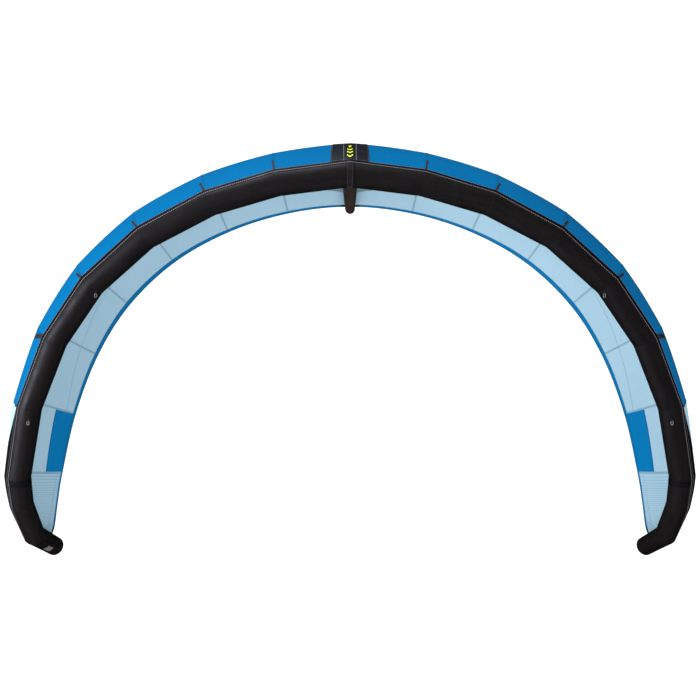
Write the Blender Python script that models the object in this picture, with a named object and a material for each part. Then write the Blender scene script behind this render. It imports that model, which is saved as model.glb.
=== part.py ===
"""Inflatable kitesurfing kite with one centre strut, in metres, +Z up.

The kite flies upright with its leading edge towards -Y and its trailing edge towards +Y.
The origin is the middle of the leading-edge tube, in the plane of symmetry.
Everything is worked out for the +X half and mirrored for the other one.
"""
import math

import bmesh
import bpy
import numpy as np
from mathutils import Matrix, Vector

# Leading edge: sizes
LEADING_EDGE_LENGTH = 7.81
LEADING_EDGE_DIAMETER = 0.176
SLEEVE_WALL = 0.0010

# Leading edge: straight segments of one half, from the centre to the wingtip.
# Roll leans a segment down, sweep leans it back.
SEGMENT_LENGTH_SHARES = (
    0.1139, 0.1098, 0.1159, 0.1149, 0.1118, 0.1200, 0.1240, 0.0529, 0.0691, 0.0677)
SEGMENT_ROLLS_DEG = (7.0, 16.0, 27.0, 40.5, 54.0, 66.5, 77.5, 91.0, 101.0, 127.0)
SEGMENT_SWEEPS_DEG = (1.5, 3.5, 5.5, 8.5, 11.0, 13.0, 15.5, 22.5, 35.0, 59.0)
TUBE_DIAMETER_SHARES = (1.0, 1.0, 0.99, 0.975, 0.96, 0.945, 0.92, 0.895, 0.84, 0.785, 0.715)
TUBE_SIDES = 24
TIP_CAP_DEPTH_SHARE = 0.45
TIP_CAP_RINGS = 3

# Canopy: sizes
CENTRE_CHORD = 1.60
CANOPY_THICKNESS = 0.0010
SEAM_LIFT = 0.0006

# Canopy: the trailing edge seen from the leading edge, at each joint of the leading edge and last
# at the wingtip, as shares of the centre chord: back, towards the tip, and inward.
CANOPY_TIP_STATION = 9.85
EDGE_BACK_SHARES = (1.0, 0.994, 0.972, 0.925, 0.847, 0.738, 0.603, 0.441, 0.334, 0.188, 0.048)
EDGE_TIPWARD_SHARES = (0.0, 0.009, 0.029, 0.033, 0.039, 0.040, 0.037, 0.016, 0.041, 0.005, -0.029)
EDGE_INWARD_SHARES = (0.018, 0.0135, 0.018, 0.025, 0.0365, 0.054, 0.071, 0.0805, 0.064, 0.042, 0.004)

# Canopy: where it leaves the tube, measured from straight forward over the top, and the two handles
# of its profile as shares of the local chord.
SEAM_ANGLES_DEG = (48.0, 48.0, 48.0, 48.0, 48.0, 48.0, 48.0, 48.0, 55.0, 80.0, 124.0)
NOSE_HANDLE_SHARES = (
    0.288, 0.288, 0.288, 0.288, 0.288, 0.280, 0.255, 0.245, 0.250, 0.275, 0.288)
TAIL_HANDLE_SHARE = 0.375
TAIL_SLOPES_DEG = (18.0, 18.0, 18.0, 18.0, 18.0, 17.0, 12.0, 8.0, 8.0, 13.0, 18.0)
PROFILE_STEPS = 32

# Canopy: how the cloth is cut
FRONT_PANEL_SHARE = 0.40
FRONT_PANEL_LAST_JOINT = 6
LAST_CHORD_JOINT = 7
FRONT_ROWS = 6
REAR_ROWS = 6
BINDING_ROWS = 1
SEAM_ROW_GROWTH = 1.6
COLUMNS_PER_SEGMENT = 3
BINDING_WIDTH = 0.060
BINDING_WIDTH_SHARES = (0.56, 0.65, 0.81, 0.95, 1.0, 0.79, 0.63, 0.35, 0.32, 0.32, 0.25)
INSET_FROM_JOINT = 6
INSET_START_SHARE = 0.76

# Patch over the middle of the canopy
PATCH_FRONT_WIDTH = 0.228
PATCH_REAR_WIDTH = 0.200
PATCH_LENGTH = 0.40
PATCH_CORNER_RADIUS = 0.035
PATCH_THICKNESS = 0.0012
PATCH_LIFT = 0.0009
PATCH_COLUMNS = 6
PATCH_CORNER_STEPS = 4

# Centre strut
STRUT_DIAMETER = 0.104
STRUT_WALL = 0.0010
STRUT_SIDES = 16
STRUT_START_BACK = 0.045
STRUT_START_UP = 0.040
STRUT_RUN_SHARES = (0.0, 0.45, 0.60, 0.70, 0.79, 0.87, 0.94, 0.985)
STRUT_DIAMETER_SHARES = (1.0, 0.99, 0.98, 0.97, 0.93, 0.84, 0.74, 0.67)
STRUT_FIRST_ROW = 3
STRUT_TAIL_RINGS = 3
STRUT_SETTLING_ROUNDS = 4

# Bladders and the neck between them
BLADDER_WALL = 0.0006
BLADDER_CLEARANCE = 0.0006
NECK_DIAMETER = 0.030
NECK_WALL = 0.0012
NECK_REACH = 0.030
STRUT_BLADDER_SHOULDER = 0.035
SHOULDER_MIDDLE_SHARE = 0.67

# Inflation valve, behind the leading edge
VALVE_STATION = 0.55
VALVE_ANGLE_DEG = 202.0
VALVE_BORE_DIAMETER = 0.026
VALVE_BASE_DIAMETER = 0.034
VALVE_FLANGE_DIAMETER = 0.050
VALVE_FLANGE_HEIGHT = 0.004
VALVE_FLANGE_SINK = 0.006
VALVE_LIP_HEIGHT = 0.0006
VALVE_BASE_DEPTH = 0.020
INSERT_COLLAR_DIAMETER = 0.032
INSERT_COLLAR_HEIGHT = 0.005
INSERT_DEPTH = 0.014
INSERT_BORE_DIAMETER = 0.012
CAP_DIAMETER = 0.024
CAP_HEIGHT = 0.004
CAP_PLUG_DEPTH = 0.004
CAP_STRAP_WIDTH = 0.007
CAP_STRAP_REACH = 0.008
CAP_HINGE_LENGTH = 0.008
CAP_HINGE_DIAMETER = 0.003
VALVE_SIDES = 24

# Line loops: a cord ring with its corners rounded, sewn on by its near end
LOOP_LENGTH = 0.026
LOOP_WIDTH = 0.017
LOOP_CORD = 0.0040
LOOP_CORD_CHAMFER = 0.0008
LOOP_CORNER_RADIUS = 0.0036
LOOP_CORNER_STEPS = 2
BRIDLE_STATIONS = {"inner": 4.035, "outer": 6.14}
BRIDLE_ANGLES_DEG = {"inner": -49.5, "outer": -19.5}
REAR_LINE_STATION = 9.93
REAR_LINE_ANGLE_DEG = 115.5

# Fits: the gap between sewn or touching pieces, and how far a cutter runs past its piece
FIT_GAP = 0.0003
CUT_OVERRUN = 0.010

SHARP_EDGE_DEG = 40.0
SIDES = {"left": -1.0, "right": 1.0}
JOINTS = len(SEGMENT_LENGTH_SHARES)
SEAM_TO_LAST_SLEEVE = JOINTS - 2
FORWARD = Vector((0.0, -1.0, 0.0))
UP = Vector((0.0, 0.0, 1.0))

# Colours, with roughness
FINISHES = {
    "sleeve_cloth": ((0.020, 0.019, 0.023), 0.62),
    "blue_cloth": ((0.000, 0.165, 0.480), 0.55),
    "pale_blue_cloth": ((0.330, 0.520, 0.640), 0.60),
    "binding_cloth": ((0.000, 0.120, 0.370), 0.55),
    "patch_cloth": ((0.022, 0.022, 0.024), 0.70),
    "bladder_film": ((0.720, 0.740, 0.760), 0.30),
    "valve_plastic": ((0.035, 0.035, 0.038), 0.40),
    "loop_cord": ((0.560, 0.560, 0.580), 0.75),
}


def clear_scene():
    """Removes whatever the file holds."""
    for item in list(bpy.data.objects):
        bpy.data.objects.remove(item, do_unlink=True)


def finish(name):
    """The material of that name, made once."""
    material = bpy.data.materials.get(name)
    if material is None:
        colour, roughness = FINISHES[name]
        material = bpy.data.materials.new(name)
        material.use_nodes = True
        shader = material.node_tree.nodes["Principled BSDF"]
        shader.inputs["Base Color"].default_value = (*colour, 1.0)
        shader.inputs["Roughness"].default_value = roughness
        shader.inputs["Metallic"].default_value = 0.0
    return material


class Station:
    """One joint of the leading edge: its centre, the mitre between its segments and its size."""

    def __init__(self, centre, mitre, segment, radius, seam):
        self.centre = centre
        self.segment = segment
        self.radius = radius
        self.seam = seam
        self.forward = (FORWARD - FORWARD.dot(mitre) * mitre).normalized()
        self.outward = self.forward.cross(mitre).normalized()

    def spoke(self, angle):
        """Unit direction in the mitre plane, from forward over the top."""
        return math.cos(angle) * self.forward + math.sin(angle) * self.outward

    def point(self, angle, sink):
        """Point of the tube's outline, sunk below its outer surface."""
        spoke = self.spoke(angle)
        stretch = 1.0 / math.sqrt(1.0 - spoke.dot(self.segment) ** 2)
        return self.centre + (self.radius - sink) * stretch * spoke


def segment_length(joint):
    """Length of the segment that starts at this joint."""
    return LEADING_EDGE_LENGTH / 2 * SEGMENT_LENGTH_SHARES[joint]


def segment_directions():
    """Unit direction of each straight segment of the +X half."""
    directions = []
    for roll_deg, sweep_deg in zip(SEGMENT_ROLLS_DEG, SEGMENT_SWEEPS_DEG):
        roll, sweep = math.radians(roll_deg), math.radians(sweep_deg)
        across = math.cos(sweep) * math.cos(roll)
        down = math.cos(sweep) * math.sin(roll)
        directions.append(Vector((across, math.sin(sweep), -down)))
    return directions


def make_stations():
    """The joints of the +X half, from the centre to the wingtip."""
    directions = segment_directions()
    centre = Vector()
    stations = []
    for joint in range(JOINTS + 1):
        inboard = directions[max(joint - 1, 0)]
        outboard = directions[min(joint, JOINTS - 1)]
        mitre = Vector((1.0, 0.0, 0.0)) if joint == 0 else (inboard + outboard).normalized()
        radius = LEADING_EDGE_DIAMETER * TUBE_DIAMETER_SHARES[joint] / 2
        seam = math.radians(SEAM_ANGLES_DEG[joint])
        stations.append(Station(centre, mitre, outboard, radius, seam))
        if joint < JOINTS:
            centre = centre + segment_length(joint) * outboard
    return stations


STATIONS = make_stations()


def between(values, place):
    """Value at a place along the leading edge, where whole numbers are its joints."""
    joint = min(int(place), JOINTS - 1)
    share = place - joint
    return values[joint] * (1.0 - share) + values[joint + 1] * share


def tube_point(place, angle, sink):
    """Point on the leading-edge tube at a place along it, sunk below its outer surface."""
    return between([station.point(angle, sink) for station in STATIONS], place)


def tube_centre(place):
    """Point on the tube's axis."""
    return between([station.centre for station in STATIONS], place)


def tube_spoke(place, angle):
    """Unit direction out of the tube at a place along it."""
    return between([station.spoke(angle) for station in STATIONS], place).normalized()


def tube_facet(place, angle):
    """Point on the tube's flat facet at this angle, and the unit direction square out of it."""
    step = 2 * math.pi / TUBE_SIDES
    first = STATIONS[0].seam
    low = first + step * math.floor((angle - first) / step)
    near, far = tube_point(place, low, 0.0), tube_point(place, low + step, 0.0)
    joint = min(int(place), JOINTS - 1)
    along = STATIONS[joint + 1].point(angle, 0.0) - STATIONS[joint].point(angle, 0.0)
    return near.lerp(far, (angle - low) / step), along.cross(far - near).normalized()


def inset_place(place, towards, distance):
    """Place moved along the leading edge by a distance, towards +1 or -1."""
    joint = min(int(place), JOINTS - 1) if towards > 0 else max(math.ceil(place) - 1, 0)
    return place + towards * distance / segment_length(joint)


# The canopy's surface

def mitre_axes(joint):
    """Tipward and outward directions for placing the trailing edge at a joint."""
    last = JOINTS - 1
    inboard = SEGMENT_ROLLS_DEG[min(max(joint - 1, 0), last)]
    outboard = SEGMENT_ROLLS_DEG[min(joint, last)]
    roll = 0.0 if joint == 0 else math.radians((inboard + outboard) / 2)
    tipward = Vector((math.cos(roll), 0.0, -math.sin(roll)))
    outward = Vector((math.sin(roll), 0.0, math.cos(roll)))
    return tipward, outward


def seam_point(place, lift):
    """Where the canopy leaves the tube, lifted off the tube's surface."""
    angle = between([station.seam for station in STATIONS], place)
    return tube_point(place, angle, -lift)


def seam_tangent(place):
    """Direction in which the canopy leaves the tube."""
    angle = between([station.seam for station in STATIONS], place)
    return tube_spoke(place, angle + math.pi / 2)


def trailing_point(index, place):
    """Trailing edge at a joint, or at the wingtip for the last index."""
    tipward, outward = mitre_axes(min(index, JOINTS))
    back = CENTRE_CHORD * EDGE_BACK_SHARES[index] * -FORWARD
    along = CENTRE_CHORD * EDGE_TIPWARD_SHARES[index] * tipward
    inward = CENTRE_CHORD * EDGE_INWARD_SHARES[index] * -outward
    return tube_centre(place) + back + along + inward


def profile_handles(index, place):
    """Handle behind the seam, handle before the trailing edge, and the trailing edge."""
    start = seam_point(place, SEAM_LIFT)
    end = trailing_point(index, place)
    chord = end - start
    length = chord.length
    chord_unit = chord.normalized()
    outward = tube_spoke(place, math.pi / 2)
    outward = (outward - outward.dot(chord_unit) * chord_unit).normalized()
    slope = math.radians(TAIL_SLOPES_DEG[index])
    nose = start + NOSE_HANDLE_SHARES[index] * length * seam_tangent(place)
    back = TAIL_HANDLE_SHARE * length
    tail = end + back * (math.sin(slope) * outward - math.cos(slope) * chord_unit)
    return nose, tail, end


KNOTS = [float(joint) for joint in range(JOINTS)] + [CANOPY_TIP_STATION]
HANDLES = [[np.array(point) for point in profile_handles(i, place)] for i, place in enumerate(KNOTS)]


def mirrored(point):
    """The same point on the other half."""
    return point * np.array((-1.0, 1.0, 1.0))


def smooth(column, place):
    """Value of one handle at a place, on a smooth curve through the joints."""
    places = [-KNOTS[1]] + KNOTS
    values = [mirrored(HANDLES[1][column])] + [handle[column] for handle in HANDLES]
    low = min(max(int(place) + 1, 1), len(places) - 2)
    high = low + 1
    span = places[high] - places[low]
    slope_low = (values[high] - values[low - 1]) / (places[high] - places[low - 1])
    if high + 1 < len(places):
        slope_high = (values[high + 1] - values[low]) / (places[high + 1] - places[low])
    else:
        slope_high = (values[high] - values[low]) / span
    t = (place - places[low]) / span
    curve_low = (1 + 2 * t) * (1 - t) ** 2 * values[low] + t * (1 - t) ** 2 * span * slope_low
    curve_high = t * t * (3 - 2 * t) * values[high] + t * t * (t - 1) * span * slope_high
    return curve_low + curve_high


def profile(place):
    """Points of the canopy's underside at a place, and the distance run along them."""
    start = np.array(seam_point(place, SEAM_LIFT))
    nose, tail, end = (smooth(column, place) for column in range(3))
    t = np.linspace(0, 1, PROFILE_STEPS + 1)[:, None]
    points = (1 - t) ** 3 * start + 3 * t * (1 - t) ** 2 * nose
    points = points + 3 * t * t * (1 - t) * tail + t ** 3 * end
    steps = np.linalg.norm(np.diff(points, axis=0), axis=1)
    return points, np.concatenate(([0.0], np.cumsum(steps)))


def profile_length(place):
    """Distance along the canopy's underside, from seam to trailing edge."""
    return profile(abs(place))[1][-1]


def underside(place, distance):
    """Point of the canopy's underside, at a distance behind the seam."""
    points, run = profile(abs(place))
    point = np.array([np.interp(distance, run, points[:, axis]) for axis in range(3)])
    return mirrored(point) if place < 0 else point


def outward_normal(place, distance):
    """Unit direction out of the top of the canopy."""
    step = FIT_GAP / CENTRE_CHORD
    reach = profile_length(place)
    near, far = max(place - step, -CANOPY_TIP_STATION), min(place + step, CANOPY_TIP_STATION)
    fore, aft = max(distance - step * reach, 0.0), min(distance + step * reach, reach)
    share = distance / reach
    across = underside(far, share * profile_length(far)) - underside(near, share * profile_length(near))
    along = underside(place, aft) - underside(place, fore)
    normal = np.cross(across, along)
    return normal / np.linalg.norm(normal)


def canopy_point(place, distance, lift):
    """Point above the canopy's underside."""
    return underside(place, distance) + lift * outward_normal(place, distance)


# Mesh building

def new_object(name, mesh_builder, material):
    """Object with this mesh, faces outward, shaded smooth but for real edges."""
    bmesh.ops.recalc_face_normals(mesh_builder, faces=mesh_builder.faces)
    return finished_object(name, mesh_builder, material)


def finished_object(name, mesh_builder, material):
    """Object with this mesh, whose faces already look outward."""
    mesh = bpy.data.meshes.new(name)
    mesh_builder.to_mesh(mesh)
    mesh_builder.free()
    mesh.shade_smooth()
    mesh.set_sharp_from_angle(angle=math.radians(SHARP_EDGE_DEG))
    mesh.materials.append(finish(material))
    item = bpy.data.objects.new(name, mesh)
    bpy.context.scene.collection.objects.link(item)
    return item


def put_origin(item, place):
    """Moves an object's origin without moving its shape."""
    item.data.transform(Matrix.Translation(-place))
    item.location = place


def across_plane(point, side):
    """The point itself on the +X half, its mirror image on the other."""
    return Vector((point[0] * side, point[1], point[2]))


def add_grid(builder, rows):
    """Vertices for rows of points, joined by quads. Returns the vertices."""
    grid = [[builder.verts.new(point) for point in row] for row in rows]
    for near, far in zip(grid, grid[1:]):
        for a, b, c, d in zip(near, near[1:], far[1:], far):
            builder.faces.new((a, b, c, d))
    return grid


def add_rim(builder, near, far):
    """Quads between two open lines of vertices."""
    for a, b, c, d in zip(near, near[1:], far[1:], far):
        builder.faces.new((a, b, c, d))


def sheet_solid(lower_rows, upper_rows):
    """Closed sheet between two grids of points."""
    builder = bmesh.new()
    lower = add_grid(builder, lower_rows)
    upper = add_grid(builder, upper_rows)
    add_rim(builder, lower[0], upper[0])
    add_rim(builder, lower[-1], upper[-1])
    add_rim(builder, [row[0] for row in lower], [row[0] for row in upper])
    add_rim(builder, [row[-1] for row in lower], [row[-1] for row in upper])
    return builder


def add_pipe(builder, rings):
    """Vertices for rings of points, joined round by quads. Returns the vertices."""
    loops = [[builder.verts.new(point) for point in ring] for ring in rings]
    for near, far in zip(loops, loops[1:]):
        join_loops(builder, near, far)
    return loops


def join_loops(builder, near, far):
    """Quads between two closed loops of vertices."""
    count = len(near)
    for i in range(count):
        after = (i + 1) % count
        builder.faces.new((near[i], near[after], far[after], far[i]))


def close_loop(builder, loop, apex):
    """Fan from a loop to a point."""
    tip = builder.verts.new(apex)
    count = len(loop)
    for i in range(count):
        builder.faces.new((loop[i], loop[(i + 1) % count], tip))


def cut(item, name, builder, operation="DIFFERENCE"):
    """Boolean on the item with a helper object that stays out of the model."""
    helper = new_object(name, builder, "valve_plastic")
    helper.hide_render = True
    helper.display_type = "WIRE"
    modifier = item.modifiers.new(name, "BOOLEAN")
    modifier.operation = operation
    modifier.solver = "EXACT"
    modifier.object = helper


def rod(start, end, radius, sides):
    """Closed round rod between two points."""
    builder = bmesh.new()
    axis = (end - start).normalized()
    turn = axis.to_track_quat("Z", "Y").to_matrix()
    rings = []
    for centre in (start, end):
        ring = []
        for i in range(sides):
            angle = 2 * math.pi * i / sides
            spoke = turn @ Vector((math.cos(angle), math.sin(angle), 0.0))
            ring.append(centre + radius * spoke)
        rings.append(ring)
    loops = add_pipe(builder, rings)
    builder.faces.new(loops[0])
    builder.faces.new(loops[-1])
    return builder


# Leading edge

def tube_ring(place, sink, side):
    """Ring of points round the tube, its first point on the canopy's seam."""
    first = STATIONS[0].seam
    ring = []
    for i in range(TUBE_SIDES):
        angle = first + 2 * math.pi * i / TUBE_SIDES
        ring.append(across_plane(tube_point(place, angle, sink), side))
    return ring


def tip_rings(sink, side):
    """Rings of the rounded wingtip past the last joint, and its apex."""
    last = STATIONS[-1]
    radius = last.radius - sink
    rings = []
    for i in range(1, TIP_CAP_RINGS):
        angle = math.pi / 2 * i / TIP_CAP_RINGS
        past = last.centre + TIP_CAP_DEPTH_SHARE * radius * math.sin(angle) * last.segment
        first = STATIONS[0].seam
        ring = []
        for k in range(TUBE_SIDES):
            spoke = last.spoke(first + 2 * math.pi * k / TUBE_SIDES)
            ring.append(across_plane(past + radius * math.cos(angle) * spoke, side))
        rings.append(ring)
    apex = last.centre + TIP_CAP_DEPTH_SHARE * radius * last.segment
    return rings, across_plane(apex, side)


def make_sleeve_segment(name, first, last, side):
    """Open-ended length of sleeve between two joints, short of each seam by half the gap."""
    start = inset_place(first, 1, FIT_GAP / 2)
    end = inset_place(last, -1, FIT_GAP / 2)
    builder = bmesh.new()
    outer = add_pipe(builder, [tube_ring(start, 0.0, side), tube_ring(end, 0.0, side)])
    inner = add_pipe(builder, [tube_ring(start, SLEEVE_WALL, side), tube_ring(end, SLEEVE_WALL, side)])
    join_loops(builder, outer[0], inner[0])
    join_loops(builder, outer[-1], inner[-1])
    return new_object(name, builder, "sleeve_cloth")


def make_wingtip_sleeve(name, side):
    """Last length of sleeve: one more bend, then the rounded end."""
    start = inset_place(SEAM_TO_LAST_SLEEVE, 1, FIT_GAP / 2)
    builder = bmesh.new()
    mouths = []
    for sink in (0.0, SLEEVE_WALL):
        rings = [tube_ring(place, sink, side) for place in (start, JOINTS - 1, JOINTS)]
        cap, apex = tip_rings(sink, side)
        loops = add_pipe(builder, rings + cap)
        close_loop(builder, loops[-1], apex)
        mouths.append(loops[0])
    join_loops(builder, *mouths)
    return new_object(name, builder, "sleeve_cloth")


def make_sleeves():
    """All lengths of sleeve, with the holes for the neck and the valve."""
    for side_name, side in SIDES.items():
        for joint in range(SEAM_TO_LAST_SLEEVE):
            name = f"sleeve_{side_name}_{joint + 1}"
            segment = make_sleeve_segment(name, joint, joint + 1, side)
            if joint == 0:
                cut(segment, f"neck_hole_{side_name}", neck_hole())
            if joint == 0 and side_name == "left":
                cut(segment, "valve_hole_in_sleeve", valve_hole())
        make_wingtip_sleeve(f"sleeve_{side_name}_{SEAM_TO_LAST_SLEEVE + 1}", side)


def add_bladder_skin(builder, sink):
    """One closed skin of the bladder, from wingtip to wingtip. Returns its faces."""
    first_face = len(builder.faces)
    rings = [tube_ring(joint, sink, -1.0) for joint in range(JOINTS, 0, -1)]
    rings += [tube_ring(joint, sink, 1.0) for joint in range(JOINTS + 1)]
    left_cap, left_apex = tip_rings(sink, -1.0)
    right_cap, right_apex = tip_rings(sink, 1.0)
    loops = add_pipe(builder, left_cap[::-1] + rings + right_cap)
    close_loop(builder, loops[0], left_apex)
    close_loop(builder, loops[-1], right_apex)
    builder.faces.ensure_lookup_table()
    faces = builder.faces[first_face:]
    bmesh.ops.recalc_face_normals(builder, faces=faces)
    return faces


def make_leading_edge_bladder():
    """Thin air tube inside the sleeves, with a hole for the neck and one for the valve."""
    builder = bmesh.new()
    outside = SLEEVE_WALL + BLADDER_CLEARANCE
    add_bladder_skin(builder, outside)
    inner = add_bladder_skin(builder, outside + BLADDER_WALL)
    bmesh.ops.reverse_faces(builder, faces=inner)
    bladder = finished_object("leading_edge_bladder", builder, "bladder_film")
    cut(bladder, "neck_hole_in_bladder", neck_hole())
    cut(bladder, "valve_hole_in_bladder", valve_hole())
    return bladder


# Canopy

def panel_places(first, last):
    """Places of a panel's columns, short of the seams at its sides by half the gap."""
    count = round(abs(last - first)) * COLUMNS_PER_SEGMENT
    places = [first + (last - first) * i / count for i in range(count + 1)]
    places[0] = inner_place(first, 1)
    if last < CANOPY_TIP_STATION:
        places[-1] = inner_place(last, -1)
    return places


def inner_place(place, towards):
    """Place moved by half the gap, on either half of the kite."""
    if place < 0:
        return -inset_place(-place, -towards, FIT_GAP / 2)
    return inset_place(place, towards, FIT_GAP / 2)


def tip_places():
    """Columns of the outermost panel, which spans the last short segments."""
    ends = [float(joint) for joint in range(LAST_CHORD_JOINT, JOINTS)] + [CANOPY_TIP_STATION]
    places = [inner_place(ends[0], 1)]
    for start, end in zip(ends, ends[1:]):
        count = COLUMNS_PER_SEGMENT
        places += [start + (end - start) * i / count for i in range(1, count + 1)]
    return places


def binding_width(place):
    """Width of the trailing-edge binding at a place."""
    return BINDING_WIDTH * float(np.interp(abs(place), KNOTS, BINDING_WIDTH_SHARES))


def make_panel(name, places, start_of, end_of, rows, side, material):
    """Canopy panel over these places, between two distances behind the seam."""
    lower, upper = [], []
    for place in places:
        distances = row_distances(start_of(place), end_of(place), rows)
        lower.append([across_plane(canopy_point(place, d, 0.0), side) for d in distances])
        upper.append([across_plane(canopy_point(place, d, CANOPY_THICKNESS), side) for d in distances])
    return new_object(name, sheet_solid(lower, upper), material)


def row_distances(start, end, rows):
    """Distances of a panel's rows, even ones, or closer together near the tube it starts on."""
    growth = SEAM_ROW_GROWTH if start == 0 else 1
    return [start + (end - start) * (i / rows) ** growth for i in range(rows + 1)]


def from_seam(place):
    """Where the cloth starts on the tube."""
    return 0.0


def front_end(place):
    """Rear edge of the front panels."""
    return FRONT_PANEL_SHARE * profile_length(place) - FIT_GAP / 2


def rear_start(place):
    """Front edge of the rear panels."""
    return FRONT_PANEL_SHARE * profile_length(place) + FIT_GAP / 2


def rear_end(place):
    """Rear edge of the rear panels, where the binding starts."""
    return profile_length(place) - binding_width(place) - FIT_GAP


def inset_front(place):
    """Front edge of the blue panel near the wingtip."""
    return INSET_START_SHARE * profile_length(place)


def before_inset(place):
    """Rear edge of the pale cloth in front of the blue panel."""
    return inset_front(place) - FIT_GAP


def make_canopy():
    """Front and rear panels, and the blue panels near the wingtips."""
    centre = panel_places(-1.0, 1.0)
    make_panel("canopy_front_centre", centre, from_seam, front_end, FRONT_ROWS, 1.0, "blue_cloth")
    make_panel("canopy_rear_centre", centre, rear_start, rear_end, REAR_ROWS, 1.0, "pale_blue_cloth")
    for side_name, side in SIDES.items():
        for joint in range(1, FRONT_PANEL_LAST_JOINT):
            places = panel_places(float(joint), float(joint + 1))
            number = joint + 1
            make_panel(f"canopy_front_{side_name}_{number}", places, from_seam, front_end,
                       FRONT_ROWS, side, "blue_cloth")
            make_panel(f"canopy_rear_{side_name}_{number}", places, rear_start, rear_end,
                       REAR_ROWS, side, "pale_blue_cloth")
        make_outer_panels(side_name, side)


def make_outer_panels(side_name, side):
    """Full-chord panels outboard of the front ones, with the blue panel let in."""
    places = panel_places(float(INSET_FROM_JOINT), float(INSET_FROM_JOINT + 1))
    number = INSET_FROM_JOINT + 1
    make_panel(f"canopy_rear_{side_name}_{number}", places, from_seam, before_inset,
               REAR_ROWS, side, "pale_blue_cloth")
    let_in = places[:-1] + [inset_place(places[-1], -1, FIT_GAP)]
    make_panel(f"inset_panel_{side_name}", let_in, inset_front, rear_end,
               REAR_ROWS // 2, side, "blue_cloth")
    make_panel(f"canopy_rear_{side_name}_{number + 1}", tip_places(), from_seam, rear_end,
               REAR_ROWS + FRONT_ROWS, side, "pale_blue_cloth")


def binding_start(place):
    """Front edge of the binding."""
    return profile_length(place) - binding_width(place)


def make_binding():
    """Trailing-edge binding from wingtip to wingtip, in one piece."""
    half = []
    for joint in range(LAST_CHORD_JOINT):
        half += [joint + i / COLUMNS_PER_SEGMENT for i in range(COLUMNS_PER_SEGMENT)]
    half += [float(LAST_CHORD_JOINT)] + tip_places()[1:]
    places = [-place for place in half[:0:-1]] + half
    make_panel("trailing_edge_binding", places, binding_start, profile_length, BINDING_ROWS, 1.0,
               "binding_cloth")


def patch_half_width(distance):
    """Half the patch's width at a distance behind the seam, with its rear corners rounded."""
    taper = (PATCH_FRONT_WIDTH - PATCH_REAR_WIDTH) * distance / PATCH_LENGTH
    half = (PATCH_FRONT_WIDTH - taper) / 2
    into_corner = distance - (PATCH_LENGTH - PATCH_CORNER_RADIUS)
    if into_corner > 0:
        half -= PATCH_CORNER_RADIUS - math.sqrt(max(PATCH_CORNER_RADIUS ** 2 - into_corner ** 2, 0.0))
    return half


def panel_facet_point(place, distance, lift):
    """Point above the flat facets of the centre front panel."""
    middle = row_distances(0.0, front_end(0.0), FRONT_ROWS)
    low = min(int(np.searchsorted(middle, distance, side="right")) - 1, FRONT_ROWS - 1)
    share = (distance - middle[low]) / (middle[low + 1] - middle[low])
    column = math.floor(place * COLUMNS_PER_SEGMENT) / COLUMNS_PER_SEGMENT
    across = (place - column) * COLUMNS_PER_SEGMENT
    corners = []
    for side_place in (column, column + 1.0 / COLUMNS_PER_SEGMENT):
        rows = row_distances(0.0, front_end(side_place), FRONT_ROWS)
        near = canopy_point(side_place, rows[low], lift)
        far = canopy_point(side_place, rows[low + 1], lift)
        corners.append(near * (1 - share) + far * share)
    return corners[0] * (1 - across) + corners[1] * across


def make_centre_patch():
    """Black patch that lies on the middle of the front panel."""
    corner_start = PATCH_LENGTH - PATCH_CORNER_RADIUS
    panel_rows = row_distances(0.0, front_end(0.0), FRONT_ROWS)
    distances = [distance for distance in panel_rows if distance < corner_start]
    for i in range(PATCH_CORNER_STEPS):
        angle = math.pi / 2 * i / PATCH_CORNER_STEPS
        distances.append(corner_start + PATCH_CORNER_RADIUS * math.sin(angle))
    lower, upper = [], []
    lift = CANOPY_THICKNESS + PATCH_LIFT
    half_span = STATIONS[1].centre.x
    for distance in distances:
        half = patch_half_width(distance) / half_span
        places = [half * (2 * i / PATCH_COLUMNS - 1) for i in range(PATCH_COLUMNS + 1)]
        lower.append([Vector(panel_facet_point(p, distance, lift)) for p in places])
        upper.append([Vector(panel_facet_point(p, distance, lift + PATCH_THICKNESS)) for p in places])
    return new_object("centre_patch", sheet_solid(lower, upper), "patch_cloth")


# Centre strut and its bladder

def strut_rows():
    """Distances behind the seam at which the strut bends: the rows of the panels above it."""
    front = row_distances(0.0, front_end(0.0), FRONT_ROWS)
    rear = row_distances(rear_start(0.0), rear_end(0.0), REAR_ROWS)
    return front[STRUT_FIRST_ROW:-1] + rear


def strut_stations():
    """Centres, radii and directions of the strut, from inside the leading edge to its tail."""
    reach = profile_length(0.0)
    start = Vector((0.0, STRUT_START_BACK, STRUT_START_UP))
    tops = [Vector(canopy_point(0.0, distance, 0.0)) for distance in strut_rows()]
    sizes = np.interp([row / reach for row in strut_rows()], STRUT_RUN_SHARES, STRUT_DIAMETER_SHARES)
    radii = [STRUT_DIAMETER * float(size) / 2 for size in [STRUT_DIAMETER_SHARES[0], *sizes]]
    directions = mean_directions([start] + tops)
    for _ in range(STRUT_SETTLING_ROUNDS):
        centres = [start]
        for top, radius, direction in zip(tops, radii[1:], directions[1:]):
            centres.append(top - (radius + FIT_GAP) * strut_top(direction))
        directions = mean_directions(centres)
    return centres, radii, directions


def mean_directions(points):
    """Mean of the unit runs before and after each point; shorter than 1 where the line bends."""
    runs = [(after - before).normalized() for before, after in zip(points, points[1:])]
    return [runs[0]] + [(a + b) / 2 for a, b in zip(runs, runs[1:])] + [runs[-1]]


def strut_top(direction):
    """Direction from the strut's middle to its top, longer than 1 where the strut bends."""
    return Vector((1.0, 0.0, 0.0)).cross(direction).normalized() / direction.length


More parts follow.
